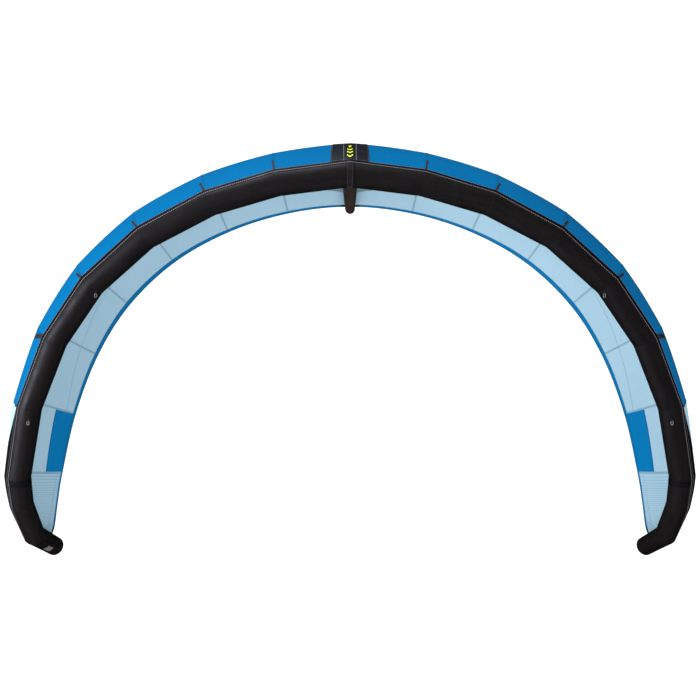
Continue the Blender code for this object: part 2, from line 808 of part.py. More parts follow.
def strut_ring(centre, direction, radius, sides):
    """Ring of points across the strut, the first one on top.

    Where the strut bends, the direction is shorter than 1 and the ring is that much taller, so that
    the tube keeps its size on both sides of the bend.
    """
    top = strut_top(direction)
    across = Vector((1.0, 0.0, 0.0))
    ring = []
    for i in range(sides):
        angle = 2 * math.pi * i / sides
        ring.append(centre + radius * (math.cos(angle) * top + math.sin(angle) * across))
    return ring


def strut_tail(centre, direction, radius, sides):
    """Rings of the rounded tail and its apex."""
    rings = []
    for i in range(1, STRUT_TAIL_RINGS):
        angle = math.pi / 2 * i / STRUT_TAIL_RINGS
        past = centre + radius * math.sin(angle) * direction
        rings.append(strut_ring(past, direction, radius * math.cos(angle), sides))
    return rings, centre + radius * direction


def leading_edge_envelope():
    """Solid as large as the leading edge near the centre, for seating the strut on it."""
    builder = bmesh.new()
    rings = [tube_ring(1.0, -FIT_GAP, -1.0), tube_ring(0.0, -FIT_GAP, 1.0), tube_ring(1.0, -FIT_GAP, 1.0)]
    loops = add_pipe(builder, rings)
    builder.faces.new(loops[0])
    builder.faces.new(loops[-1])
    return builder


def make_strut_sleeve():
    """Tapered tube under the middle of the canopy, its front cut to sit on the leading edge."""
    centres, radii, directions = strut_stations()
    builder = bmesh.new()
    mouths = []
    for sink in (0.0, STRUT_WALL):
        rings = []
        for centre, radius, direction in zip(centres, radii, directions):
            rings.append(strut_ring(centre, direction, radius - sink, STRUT_SIDES))
        tail, apex = strut_tail(centres[-1], directions[-1], radii[-1] - sink, STRUT_SIDES)
        loops = add_pipe(builder, rings + tail)
        close_loop(builder, loops[-1], apex)
        mouths.append(loops[0])
    join_loops(builder, *mouths)
    sleeve = new_object("strut_sleeve", builder, "sleeve_cloth")
    cut(sleeve, "strut_seat", leading_edge_envelope())
    return sleeve


def strut_axis():
    """Start and direction of the straight front run of the strut."""
    centres, _, directions = strut_stations()
    return centres[0], directions[0]


def neck_crossing():
    """Distance along the strut's axis at which it leaves the leading edge."""
    start, direction = strut_axis()
    radius = STATIONS[0].radius
    along = -start.dot(direction)
    across = start.length_squared - along ** 2
    return along + math.sqrt(radius ** 2 - across)


def neck_hole():
    """Cutter for the hole that the neck passes through, on the rear of the tube only."""
    start, direction = strut_axis()
    out = neck_crossing()
    near = start + (out - NECK_REACH / 2) * direction
    far = start + (out + CUT_OVERRUN) * direction
    return rod(near, far, NECK_DIAMETER / 2 + FIT_GAP, STRUT_SIDES)


def make_strut_bladder():
    """Air tube inside the strut, with an open neck into the leading-edge bladder."""
    centres, radii, directions = strut_stations()
    start, direction = strut_axis()
    out = neck_crossing()
    side_reach = STRUT_DIAMETER / 2
    seat = STATIONS[0].radius - math.sqrt(STATIONS[0].radius ** 2 - side_reach ** 2)
    shoulder = start + (out + seat) * direction
    full = shoulder + STRUT_BLADDER_SHOULDER * direction
    builder = bmesh.new()
    mouths = []
    for skin_sink, neck_sink in ((0.0, 0.0), (BLADDER_WALL, NECK_WALL)):
        sink = STRUT_WALL + BLADDER_CLEARANCE + skin_sink
        neck = NECK_DIAMETER / 2 - neck_sink
        rings = [strut_ring(start + (out - NECK_REACH / 2) * direction, direction, neck, STRUT_SIDES)]
        rings.append(strut_ring(shoulder + skin_sink * direction, direction, neck, STRUT_SIDES))
        body = radii[0] - sink
        middle = (shoulder + full) / 2
        half_open = neck + SHOULDER_MIDDLE_SHARE * (body - neck)
        rings.append(strut_ring(middle, direction, half_open, STRUT_SIDES))
        rings.append(strut_ring(full, direction, body, STRUT_SIDES))
        for centre, radius, towards in list(zip(centres, radii, directions))[1:]:
            rings.append(strut_ring(centre, towards, radius - sink, STRUT_SIDES))
        tail, apex = strut_tail(centres[-1], directions[-1], radii[-1] - sink, STRUT_SIDES)
        loops = add_pipe(builder, rings + tail)
        close_loop(builder, loops[-1], apex)
        mouths.append(loops[0])
    join_loops(builder, *mouths)
    return new_object("strut_bladder", builder, "bladder_film")


# Inflation valve

def valve_seat():
    """Point of the tube under the valve, on the -X half, and the direction the valve looks."""
    seat, axis = tube_facet(VALVE_STATION, math.radians(VALVE_ANGLE_DEG))
    return across_plane(seat, -1.0), across_plane(axis, -1.0)


def valve_frame():
    """Matrix that takes a valve piece, built upright at the origin, to its place."""
    seat, axis = valve_seat()
    along = across_plane(STATIONS[0].segment, -1.0)
    side = (along - along.dot(axis) * axis).normalized()
    turn = Matrix((side, axis.cross(side), axis)).transposed().to_4x4()
    return Matrix.Translation(seat) @ turn


def add_turned(builder, outline):
    """Rings turned from (radius, height) points about the upright axis."""
    rings = []
    for radius, height in outline:
        ring = []
        for i in range(VALVE_SIDES):
            angle = 2 * math.pi * i / VALVE_SIDES
            ring.append(Vector((radius * math.cos(angle), radius * math.sin(angle), height)))
        rings.append(ring)
    return add_pipe(builder, rings)


def revolve(outline):
    """Solid with a bore, turned from a closed outline of (radius, height) points."""
    builder = bmesh.new()
    loops = add_turned(builder, outline)
    join_loops(builder, loops[-1], loops[0])
    return builder


def placed(builder, frame):
    """The same mesh moved to its place."""
    bmesh.ops.transform(builder, matrix=frame, verts=builder.verts)
    return builder


def valve_hole():
    """Cutter for the hole that the valve base passes through, in the rear of the tube only."""
    seat, axis = valve_seat()
    depth = SLEEVE_WALL + BLADDER_CLEARANCE + BLADDER_WALL + CUT_OVERRUN
    return rod(seat - depth * axis, seat + CUT_OVERRUN * axis, VALVE_BASE_DIAMETER / 2 + FIT_GAP, VALVE_SIDES)


def make_valve_base():
    """Flanged bush with a low lip; its flange is cut to follow the tube that it sits on."""
    bore = VALVE_BORE_DIAMETER / 2
    inside_bush = (bore + VALVE_BASE_DIAMETER / 2) / 2
    flange_top = VALVE_FLANGE_HEIGHT - VALVE_LIP_HEIGHT
    flange = [(inside_bush, flange_top), (inside_bush, -VALVE_FLANGE_SINK),
              (VALVE_FLANGE_DIAMETER / 2, -VALVE_FLANGE_SINK),
              (VALVE_FLANGE_DIAMETER / 2, flange_top)]
    base = new_object("valve_base", placed(revolve(flange), valve_frame()), "valve_plastic")
    cut(base, "valve_seat", leading_edge_envelope())
    bush = [(bore, VALVE_FLANGE_HEIGHT), (bore, -VALVE_BASE_DEPTH),
            (VALVE_BASE_DIAMETER / 2, -VALVE_BASE_DEPTH),
            (VALVE_BASE_DIAMETER / 2, VALVE_FLANGE_HEIGHT)]
    cut(base, "valve_bush", placed(revolve(bush), valve_frame()), "UNION")
    return base


def make_valve_insert():
    """Bush that turns in the base, with a collar to grip and a small bore."""
    frame = valve_frame()
    bore = INSERT_BORE_DIAMETER / 2
    shank = VALVE_BORE_DIAMETER / 2 - FIT_GAP
    seat = VALVE_FLANGE_HEIGHT + FIT_GAP
    outline = [(bore, seat + INSERT_COLLAR_HEIGHT), (bore, seat - INSERT_DEPTH),
               (shank, seat - INSERT_DEPTH), (shank, seat),
               (INSERT_COLLAR_DIAMETER / 2, seat),
               (INSERT_COLLAR_DIAMETER / 2, seat + INSERT_COLLAR_HEIGHT)]
    insert = new_object("valve_insert", placed(revolve(outline), frame), "valve_plastic")
    put_origin(insert, frame.translation.copy())
    return insert


def cap_heights():
    """Undersides of the cap's plug and lid."""
    collar_top = VALVE_FLANGE_HEIGHT + FIT_GAP + INSERT_COLLAR_HEIGHT
    lid = collar_top + FIT_GAP
    return lid - CAP_PLUG_DEPTH, lid


def cap_hinge():
    """Middle of the cap's hinge and its direction, in the world."""
    frame = valve_frame()
    _, lid = cap_heights()
    reach = INSERT_COLLAR_DIAMETER / 2 - CAP_HINGE_DIAMETER / 2
    middle = frame @ Vector((0.0, -reach, lid + CAP_HINGE_DIAMETER / 2))
    return middle, (frame.to_3x3() @ Vector((1.0, 0.0, 0.0))).normalized()


def cap_disc():
    """Lid with a hollow plug below it, upright at the origin."""
    plug, lid = cap_heights()
    plug_radius = INSERT_BORE_DIAMETER / 2 - FIT_GAP
    core = plug_radius / 2
    builder = bmesh.new()
    loops = add_turned(builder, [(core, lid + CAP_HEIGHT / 2), (core, plug), (plug_radius, plug),
                                 (plug_radius, lid), (CAP_DIAMETER / 2, lid),
                                 (CAP_DIAMETER / 2, lid + CAP_HEIGHT)])
    builder.faces.new(loops[0])
    builder.faces.new(loops[-1])
    return builder


def cap_strap(reach, bar_height):
    """Flat strap from the hinge bar into the edge of the lid."""
    strap = bmesh.new()
    bmesh.ops.create_cube(strap, size=1.0)
    size = Matrix.Diagonal((CAP_STRAP_WIDTH, CAP_STRAP_REACH, CAP_HINGE_DIAMETER / 2, 1.0))
    middle = Matrix.Translation(Vector((0.0, CAP_STRAP_REACH / 2 - reach, bar_height)))
    bmesh.ops.transform(strap, matrix=middle @ size, verts=strap.verts)
    return strap


def make_valve_cap():
    """Round lid, hinged on a bar at the rim of the collar."""
    frame = valve_frame()
    _, lid = cap_heights()
    reach = INSERT_COLLAR_DIAMETER / 2 - CAP_HINGE_DIAMETER / 2
    bar_height = lid + CAP_HINGE_DIAMETER / 2
    half = CAP_HINGE_LENGTH / 2
    cap = new_object("valve_cap", placed(cap_disc(), frame), "valve_plastic")
    bar = rod(Vector((-half, -reach, bar_height)), Vector((half, -reach, bar_height)),
              CAP_HINGE_DIAMETER / 2, VALVE_SIDES // 2)
    cut(cap, "cap_hinge_bar", placed(bar, frame), "UNION")
    cut(cap, "cap_strap", placed(cap_strap(reach, bar_height), frame), "UNION")
    put_origin(cap, cap_hinge()[0])
    return cap


def make_valve():
    """Base, insert and cap."""
    make_valve_base()
    make_valve_insert()
    make_valve_cap()


# Line loops

def loop_path():
    """Middle line of a loop in its own plane: the near bar on the X axis, the far one below it."""
    across = (LOOP_WIDTH - LOOP_CORD) / 2
    down = LOOP_LENGTH - LOOP_CORD
    radius = LOOP_CORNER_RADIUS
    corners = [(across - radius, -radius, 90), (across - radius, radius - down, 0),
               (radius - across, radius - down, -90), (radius - across, -radius, -180)]
    points = []
    for x, z, first in corners:
        for i in range(LOOP_CORNER_STEPS + 1):
            angle = math.radians(first - 90 * i / LOOP_CORNER_STEPS)
            spoke = Vector((math.cos(angle), 0.0, math.sin(angle)))
            points.append((Vector((x, 0.0, z)) + radius * spoke, spoke))
    return points


def cord_section():
    """Square cord with chamfered edges, as (outward, sideways) pairs."""
    half = LOOP_CORD / 2
    flat = half - LOOP_CORD_CHAMFER
    return [(half, flat), (flat, half), (-flat, half), (-half, flat),
            (-half, -flat), (-flat, -half), (flat, -half), (half, -flat)]


def make_loop(name, place, angle_deg, side):
    """Cord ring that hangs from its near bar, which lies along the tube's surface."""
    frame = loop_frame(place, angle_deg, side)
    builder = bmesh.new()
    rings = []
    for point, spoke in loop_path():
        ring = []
        for outward, sideways in cord_section():
            local = point + outward * spoke + sideways * Vector((0.0, 1.0, 0.0))
            ring.append(frame @ local)
        rings.append(ring)
    loops = add_pipe(builder, rings)
    join_loops(builder, loops[-1], loops[0])
    item = new_object(name, builder, "loop_cord")
    put_origin(item, frame.translation.copy())
    return item


def loop_frame(place, angle_deg, side):
    """Matrix for a loop: its bar level and close to the tube, its far end hanging straight down.

    Where the tube faces up the loop can't hang, and lies down along the tube.
    """
    surface, normal = tube_facet(place, math.radians(angle_deg))
    surface, normal = across_plane(surface, side), across_plane(normal, side)
    bar = UP.cross(normal).normalized()
    hang_up = UP if normal.z < 0 else normal.cross(bar).normalized()
    turn = Matrix((bar, hang_up.cross(bar), hang_up)).transposed().to_4x4()
    corner = math.hypot(LOOP_CORD / 2, LOOP_CORD / 2 - LOOP_CORD_CHAMFER)
    return Matrix.Translation(surface + (corner + FIT_GAP) * normal) @ turn


def make_loops():
    """Bridle loops on the front of the leading edge and rear-line loops behind the wingtips."""
    for side_name, side in SIDES.items():
        for where, place in BRIDLE_STATIONS.items():
            make_loop(f"bridle_loop_{side_name}_{where}", place, BRIDLE_ANGLES_DEG[where], side)
        make_loop(f"rear_line_loop_{side_name}", REAR_LINE_STATION, REAR_LINE_ANGLE_DEG, side)


def make_kite():
    """The whole kite."""
    clear_scene()
    make_sleeves()
    make_leading_edge_bladder()
    make_canopy()
    make_binding()
    make_centre_patch()
    make_strut_sleeve()
    make_strut_bladder()
    make_valve()
    make_loops()


make_kite()
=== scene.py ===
"""Looks of an inflatable kitesurfing kite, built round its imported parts, in metres, +Z up.

The leading edge faces -Y. The cloth follows the same sizes and rules as the solids, in finer
steps. Places along the leading edge count its joints, and are negative on the -X half.
"""

import functools
import math

import bmesh
import bpy
import numpy as np
from mathutils import Matrix, Vector


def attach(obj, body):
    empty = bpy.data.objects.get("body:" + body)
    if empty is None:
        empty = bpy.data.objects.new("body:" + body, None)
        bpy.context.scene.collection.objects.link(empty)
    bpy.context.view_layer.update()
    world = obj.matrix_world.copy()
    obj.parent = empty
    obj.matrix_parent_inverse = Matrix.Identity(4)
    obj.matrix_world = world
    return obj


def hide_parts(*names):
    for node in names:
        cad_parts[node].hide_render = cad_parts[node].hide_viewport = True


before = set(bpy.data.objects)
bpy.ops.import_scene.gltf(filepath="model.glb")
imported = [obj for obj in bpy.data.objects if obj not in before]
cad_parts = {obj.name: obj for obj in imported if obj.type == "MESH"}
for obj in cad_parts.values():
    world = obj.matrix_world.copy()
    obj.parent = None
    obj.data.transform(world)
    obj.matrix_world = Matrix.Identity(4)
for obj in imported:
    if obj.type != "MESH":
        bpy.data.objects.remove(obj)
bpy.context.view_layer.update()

# Leading edge: sizes
LEADING_EDGE_LENGTH = 7.81
LEADING_EDGE_DIAMETER = 0.176

# Leading edge: straight segments of one half, from the centre to the wingtip.
# Roll leans a segment down, sweep leans it back.
SEGMENT_LENGTH_SHARES = (
    0.1139, 0.1098, 0.1159, 0.1149, 0.1118, 0.1200, 0.1240, 0.0529, 0.0691, 0.0677)
SEGMENT_ROLLS_DEG = (7.0, 16.0, 27.0, 40.5, 54.0, 66.5, 77.5, 91.0, 101.0, 127.0)
SEGMENT_SWEEPS_DEG = (1.5, 3.5, 5.5, 8.5, 11.0, 13.0, 15.5, 22.5, 35.0, 59.0)
TUBE_DIAMETER_SHARES = (1.0, 1.0, 0.99, 0.975, 0.96, 0.945, 0.92, 0.895, 0.84, 0.785, 0.715)
TUBE_SIDES = 24
TIP_CAP_DEPTH_SHARE = 0.45

# Canopy: sizes
CENTRE_CHORD = 1.60
CANOPY_THICKNESS = 0.0010
SEAM_LIFT = 0.0006

# Canopy: the trailing edge seen from the leading edge, at each joint of the leading edge and last
# at the wingtip, as shares of the centre chord: back, towards the tip, and inward.
CANOPY_TIP_STATION = 9.85
EDGE_BACK_SHARES = (1.0, 0.994, 0.972, 0.925, 0.847, 0.738, 0.603, 0.441, 0.334, 0.188, 0.048)
EDGE_TIPWARD_SHARES = (0.0, 0.009, 0.029, 0.033, 0.039, 0.040, 0.037, 0.016, 0.041, 0.005, -0.029)
EDGE_INWARD_SHARES = (0.018, 0.0135, 0.018, 0.025, 0.0365, 0.054, 0.071, 0.0805, 0.064, 0.042,
                      0.004)

# Canopy: where it leaves the tube, measured from straight forward over the top, and the two handles
# of its profile as shares of the local chord.
SEAM_ANGLES_DEG = (48.0, 48.0, 48.0, 48.0, 48.0, 48.0, 48.0, 48.0, 55.0, 80.0, 124.0)
NOSE_HANDLE_SHARES = (
    0.288, 0.288, 0.288, 0.288, 0.288, 0.280, 0.255, 0.245, 0.250, 0.275, 0.288)
TAIL_HANDLE_SHARE = 0.375
TAIL_SLOPES_DEG = (18.0, 18.0, 18.0, 18.0, 18.0, 17.0, 12.0, 8.0, 8.0, 13.0, 18.0)
PROFILE_STEPS = 32

# Canopy: how the cloth is cut
FRONT_PANEL_SHARE = 0.40
FRONT_PANEL_LAST_JOINT = 6
LAST_CHORD_JOINT = 7
FRONT_ROWS = 6
SEAM_ROW_GROWTH = 1.6
BINDING_WIDTH = 0.060
BINDING_WIDTH_SHARES = (0.56, 0.65, 0.81, 0.95, 1.0, 0.79, 0.63, 0.35, 0.32, 0.32, 0.25)
INSET_START_SHARE = 0.76

# Patch over the middle of the canopy
PATCH_FRONT_WIDTH = 0.228
PATCH_REAR_WIDTH = 0.200
PATCH_LENGTH = 0.40
PATCH_CORNER_RADIUS = 0.035
PATCH_THICKNESS = 0.0012
PATCH_LIFT = 0.0009

# Centre strut
STRUT_DIAMETER = 0.104
STRUT_WALL = 0.0010
STRUT_START_BACK = 0.045
STRUT_START_UP = 0.040
STRUT_RUN_SHARES = (0.0, 0.45, 0.60, 0.70, 0.79, 0.87, 0.94, 0.985)
STRUT_DIAMETER_SHARES = (1.0, 0.99, 0.98, 0.97, 0.93, 0.84, 0.74, 0.67)
STRUT_FIRST_ROW = 3
STRUT_SETTLING_ROUNDS = 4

# Bladders and the neck between them
BLADDER_WALL = 0.0006
BLADDER_CLEARANCE = 0.0006
NECK_DIAMETER = 0.030
NECK_WALL = 0.0012
NECK_REACH = 0.030
STRUT_BLADDER_SHOULDER = 0.035
SHOULDER_MIDDLE_SHARE = 0.67

# Inflation valve, behind the leading edge
VALVE_STATION = 0.55
VALVE_ANGLE_DEG = 202.0
VALVE_BASE_DIAMETER = 0.034
VALVE_FLANGE_DIAMETER = 0.050

# Line loops: a cord ring with its corners rounded, sewn on by its near end
LOOP_LENGTH = 0.026
LOOP_WIDTH = 0.017
LOOP_CORD = 0.0040
LOOP_CORD_CHAMFER = 0.0008
LOOP_CORNER_RADIUS = 0.0036
BRIDLE_STATIONS = {"inner": 4.035, "outer": 6.14}
BRIDLE_ANGLES_DEG = {"inner": -49.5, "outer": -19.5}
REAR_LINE_STATION = 9.93
REAR_LINE_ANGLE_DEG = 115.5

# The gap between sewn or touching pieces
FIT_GAP = 0.0003

RADIUS = LEADING_EDGE_DIAMETER / 2
SHARP_EDGE_DEG = 40.0
SIDES = {"left": -1.0, "right": 1.0}
JOINTS = len(SEGMENT_LENGTH_SHARES)
SEAM_TO_LAST_SLEEVE = JOINTS - 2
FORWARD = Vector((0.0, -1.0, 0.0))
UP = Vector((0.0, 0.0, 1.0))


class Station:
    """One joint of the leading edge: its centre, the mitre between its segments and its size."""

    def __init__(self, centre, mitre, segment, radius, seam):
        self.centre = centre
        self.segment = segment
        self.radius = radius
        self.seam = seam
        self.forward = (FORWARD - FORWARD.dot(mitre) * mitre).normalized()
        self.outward = self.forward.cross(mitre).normalized()

    def spoke(self, angle):
        """Unit direction in the mitre plane, from forward over the top."""
        return math.cos(angle) * self.forward + math.sin(angle) * self.outward

    def point(self, angle, sink):
        """Point of the tube's outline, sunk below its outer surface."""
        spoke = self.spoke(angle)
        stretch = 1.0 / math.sqrt(1.0 - spoke.dot(self.segment) ** 2)
        return self.centre + (self.radius - sink) * stretch * spoke


def segment_length(joint):
    """Length of the segment that starts at this joint."""
    return LEADING_EDGE_LENGTH / 2 * SEGMENT_LENGTH_SHARES[joint]


def segment_directions():
    """Unit direction of each straight segment of the +X half."""
    directions = []
    for roll_deg, sweep_deg in zip(SEGMENT_ROLLS_DEG, SEGMENT_SWEEPS_DEG):
        roll, sweep = math.radians(roll_deg), math.radians(sweep_deg)
        across = math.cos(sweep) * math.cos(roll)
        down = math.cos(sweep) * math.sin(roll)
        directions.append(Vector((across, math.sin(sweep), -down)))
    return directions


def make_stations():
    """The joints of the +X half, from the centre to the wingtip."""
    directions = segment_directions()
    centre = Vector()
    stations = []
    for joint in range(JOINTS + 1):
        inboard = directions[max(joint - 1, 0)]
        outboard = directions[min(joint, JOINTS - 1)]
        mitre = Vector((1.0, 0.0, 0.0)) if joint == 0 else (inboard + outboard).normalized()
        radius = LEADING_EDGE_DIAMETER * TUBE_DIAMETER_SHARES[joint] / 2
        seam = math.radians(SEAM_ANGLES_DEG[joint])
        stations.append(Station(centre, mitre, outboard, radius, seam))
        if joint < JOINTS:
            centre = centre + segment_length(joint) * outboard
    return stations


STATIONS = make_stations()


def between(values, place):
    """Value at a place along the leading edge, where whole numbers are its joints."""
    joint = min(int(place), JOINTS - 1)
    share = place - joint
    return values[joint] * (1.0 - share) + values[joint + 1] * share


def tube_point(place, angle, sink):
    """Point on the leading-edge tube at a place along it, sunk below its outer surface."""
    return between([station.point(angle, sink) for station in STATIONS], place)


def tube_centre(place):
    """Point on the tube's axis."""
    return between([station.centre for station in STATIONS], place)


def tube_spoke(place, angle):
    """Unit direction out of the tube at a place along it."""
    return between([station.spoke(angle) for station in STATIONS], place).normalized()


def tube_facet(place, angle):
    """Point on the tube's flat facet at this angle, and the unit direction square out of it."""
    step = 2 * math.pi / TUBE_SIDES
    first = STATIONS[0].seam
    low = first + step * math.floor((angle - first) / step)
    near, far = tube_point(place, low, 0.0), tube_point(place, low + step, 0.0)
    joint = min(int(place), JOINTS - 1)
    along = STATIONS[joint + 1].point(angle, 0.0) - STATIONS[joint].point(angle, 0.0)
    return near.lerp(far, (angle - low) / step), along.cross(far - near).normalized()


def mitre_axes(joint):
    """Tipward and outward directions for placing the trailing edge at a joint."""
    last = JOINTS - 1
    inboard = SEGMENT_ROLLS_DEG[min(max(joint - 1, 0), last)]
    outboard = SEGMENT_ROLLS_DEG[min(joint, last)]
    roll = 0.0 if joint == 0 else math.radians((inboard + outboard) / 2)
    tipward = Vector((math.cos(roll), 0.0, -math.sin(roll)))
    outward = Vector((math.sin(roll), 0.0, math.cos(roll)))
    return tipward, outward


def seam_point(place, lift):
    """Where the canopy leaves the tube, lifted off the tube's surface."""
    angle = between([station.seam for station in STATIONS], place)
    return tube_point(place, angle, -lift)


def seam_tangent(place):
    """Direction in which the canopy leaves the tube."""
    angle = between([station.seam for station in STATIONS], place)
    return tube_spoke(place, angle + math.pi / 2)


def trailing_point(index, place):
    """Trailing edge at a joint, or at the wingtip for the last index."""
    tipward, outward = mitre_axes(min(index, JOINTS))
    back = CENTRE_CHORD * EDGE_BACK_SHARES[index] * -FORWARD
    along = CENTRE_CHORD * EDGE_TIPWARD_SHARES[index] * tipward
    inward = CENTRE_CHORD * EDGE_INWARD_SHARES[index] * -outward
    return tube_centre(place) + back + along + inward


def profile_handles(index, place):
    """Handle behind the seam, handle before the trailing edge, and the trailing edge."""
    start = seam_point(place, SEAM_LIFT)
    end = trailing_point(index, place)
    chord = end - start
    length = chord.length
    chord_unit = chord.normalized()
    outward = tube_spoke(place, math.pi / 2)
    outward = (outward - outward.dot(chord_unit) * chord_unit).normalized()
    slope = math.radians(TAIL_SLOPES_DEG[index])
    nose = start + NOSE_HANDLE_SHARES[index] * length * seam_tangent(place)
    back = TAIL_HANDLE_SHARE * length
    tail = end + back * (math.sin(slope) * outward - math.cos(slope) * chord_unit)
    return nose, tail, end


KNOTS = [float(joint) for joint in range(JOINTS)] + [CANOPY_TIP_STATION]
HANDLES = [[np.array(point) for point in profile_handles(i, place)]
           for i, place in enumerate(KNOTS)]


def mirrored(point):
    """The same point on the other half."""
    return point * np.array((-1.0, 1.0, 1.0))


def smooth(column, place):
    """Value of one handle at a place, on a smooth curve through the joints."""
    places = [-KNOTS[1]] + KNOTS
    values = [mirrored(HANDLES[1][column])] + [handle[column] for handle in HANDLES]
    low = min(max(int(place) + 1, 1), len(places) - 2)
    high = low + 1
    span = places[high] - places[low]
    slope_low = (values[high] - values[low - 1]) / (places[high] - places[low - 1])
    if high + 1 < len(places):
        slope_high = (values[high + 1] - values[low]) / (places[high + 1] - places[low])
    else:
        slope_high = (values[high] - values[low]) / span
    t = (place - places[low]) / span
    curve_low = (1 + 2 * t) * (1 - t) ** 2 * values[low] + t * (1 - t) ** 2 * span * slope_low
    curve_high = t * t * (3 - 2 * t) * values[high] + t * t * (t - 1) * span * slope_high
    return curve_low + curve_high


def profile(place):
    """Points of the canopy's underside at a place, and the distance run along them."""
    start = np.array(seam_point(place, SEAM_LIFT))
    nose, tail, end = (smooth(column, place) for column in range(3))
    t = np.linspace(0, 1, PROFILE_STEPS + 1)[:, None]
    points = (1 - t) ** 3 * start + 3 * t * (1 - t) ** 2 * nose
    points = points + 3 * t * t * (1 - t) * tail + t ** 3 * end
    return points, distance_run(points)


def across_plane(point, side):
    """The point itself on the +X half, its mirror image on the other."""
    return Vector((point[0] * side, point[1], point[2]))


def binding_width(place):
    """Width of the trailing-edge binding at a place."""
    return BINDING_WIDTH * float(np.interp(abs(place), KNOTS, BINDING_WIDTH_SHARES))


def patch_half_width(distance):
    """Half the patch's width at a distance behind the seam, with its rear corners rounded."""
    taper = (PATCH_FRONT_WIDTH - PATCH_REAR_WIDTH) * distance / PATCH_LENGTH
    half = (PATCH_FRONT_WIDTH - taper) / 2
    into_corner = distance - (PATCH_LENGTH - PATCH_CORNER_RADIUS)
    if into_corner > 0:
        left = math.sqrt(max(PATCH_CORNER_RADIUS ** 2 - into_corner ** 2, 0.0))
        half -= PATCH_CORNER_RADIUS - left
    return half


def loop_frame(place, angle_deg, side):
    """Matrix for a loop: its bar level and close to the tube, its far end hanging straight down.

    Where the tube faces up the loop can't hang, and lies down along the tube.
    """
    surface, normal = tube_facet(place, math.radians(angle_deg))
    surface, normal = across_plane(surface, side), across_plane(normal, side)
    bar = UP.cross(normal).normalized()
    hang_up = UP if normal.z < 0 else normal.cross(bar).normalized()
    turn = Matrix((bar, hang_up.cross(bar), hang_up)).transposed().to_4x4()
    corner = math.hypot(LOOP_CORD / 2, LOOP_CORD / 2 - LOOP_CORD_CHAMFER)
    return Matrix.Translation(surface + (corner + FIT_GAP) * normal) @ turn


def valve_seat():
    """Point of the tube under the valve, on the -X half, and the direction the valve looks."""
    seat, axis = tube_facet(VALVE_STATION, math.radians(VALVE_ANGLE_DEG))
    return across_plane(seat, -1.0), across_plane(axis, -1.0)


def valve_frame():
    """Matrix that takes a valve piece, built upright at the origin, to its place."""
    seat, axis = valve_seat()
    along = across_plane(STATIONS[0].segment, -1.0)
    side = (along - along.dot(axis) * axis).normalized()
    turn = Matrix((side, axis.cross(side), axis)).transposed().to_4x4()
    return Matrix.Translation(seat) @ turn


# Finer points on the same surfaces

# The part of a segment, and of the cloth's length, to each side that a normal is taken over
NORMAL_STEP = 0.01


@functools.lru_cache(maxsize=None)
def profile_at(place):
    """The canopy's profile at a place, worked out once."""
    return profile(place)


def cloth_point(place, distance):
    """Point of the canopy's underside at a signed place."""
    points, run = profile_at(round(abs(place), 5))
    point = on_line(distance, run, points)
    return mirrored(point) if place < 0 else point


def cloth_length(place):
    """Distance along the canopy's underside, from seam to trailing edge."""
    return profile_at(round(abs(place), 5))[1][-1]


def unit(vector):
    """The same direction with length 1."""
    return vector / np.linalg.norm(vector)


def cloth_normal(place, distance):
    """Unit direction out of the top of the canopy."""
    tip, reach = CANOPY_TIP_STATION, cloth_length(place)
    share = distance / reach
    near, far = max(place - NORMAL_STEP, -tip), min(place + NORMAL_STEP, tip)
    fore, aft = max(share - NORMAL_STEP, 0.0), min(share + NORMAL_STEP, 1.0)
    far_point = cloth_point(far, share * cloth_length(far))
    across = far_point - cloth_point(near, share * cloth_length(near))
    along = cloth_point(place, aft * reach) - cloth_point(place, fore * reach)
    return unit(np.cross(across, along))


def tube_at(place, angle, lift):
    """Point above the leading-edge tube at a signed place."""
    point = np.array(tube_point(abs(place), angle, -lift))
    return mirrored(point) if place < 0 else point


def tube_out(place, angle):
    """Unit direction out of the tube at a signed place."""
    spoke = np.array(tube_spoke(abs(place), angle))
    return mirrored(spoke) if place < 0 else spoke


PLACES = list(range(-JOINTS, JOINTS + 1))
RUN = np.concatenate(([0.0], np.cumsum([segment_length(joint) for joint in range(JOINTS)])))
SPANS = np.concatenate((-RUN[:0:-1], RUN))


def span_at(place):
    """Distance along the leading edge from the middle to a signed place."""
    return float(np.interp(place, PLACES, SPANS))


def place_at(span):
    """Signed place at a distance along the leading edge from the middle."""
    return float(np.interp(span, SPANS, PLACES))


# How far the blown-up sleeve swells, and the pinch and folds beside its seams
TUBE_SWELL = 0.0003
PINCH_DEPTH = 0.0009
PINCH_REACH = 0.009
FOLD_DEPTH = 0.0004
FOLD_REACH = 0.060
# For each wave of folds: how many round the tube, its turn from joint to joint, and its share
FOLD_WAVES = ((9, 2.3, 1.0), (14, 1.1, 0.7), (23, 0.6, 0.5))


def tube_swell(place, angle):
    """How far the blown-up cloth stands off the plain tube: drawn in at seams, gathered beside."""
    joint = round(abs(place))
    if not 0 < joint < JOINTS:
        return TUBE_SWELL
    away = abs(abs(place) - joint) * segment_length(min(int(abs(place)), JOINTS - 1))
    pinch = PINCH_DEPTH * math.exp(-(away / PINCH_REACH) ** 2)
    folds = sum(share * math.sin(count * angle + turn * joint) for count, turn, share in FOLD_WAVES)
    return TUBE_SWELL - pinch + FOLD_DEPTH * math.exp(-away / FOLD_REACH) * folds


def tube_skin(place, angle, lift):
    """Point above the sleeve's blown-up cloth at a signed place."""
    return tube_at(place, angle, lift + tube_swell(place, angle))


# Mesh building

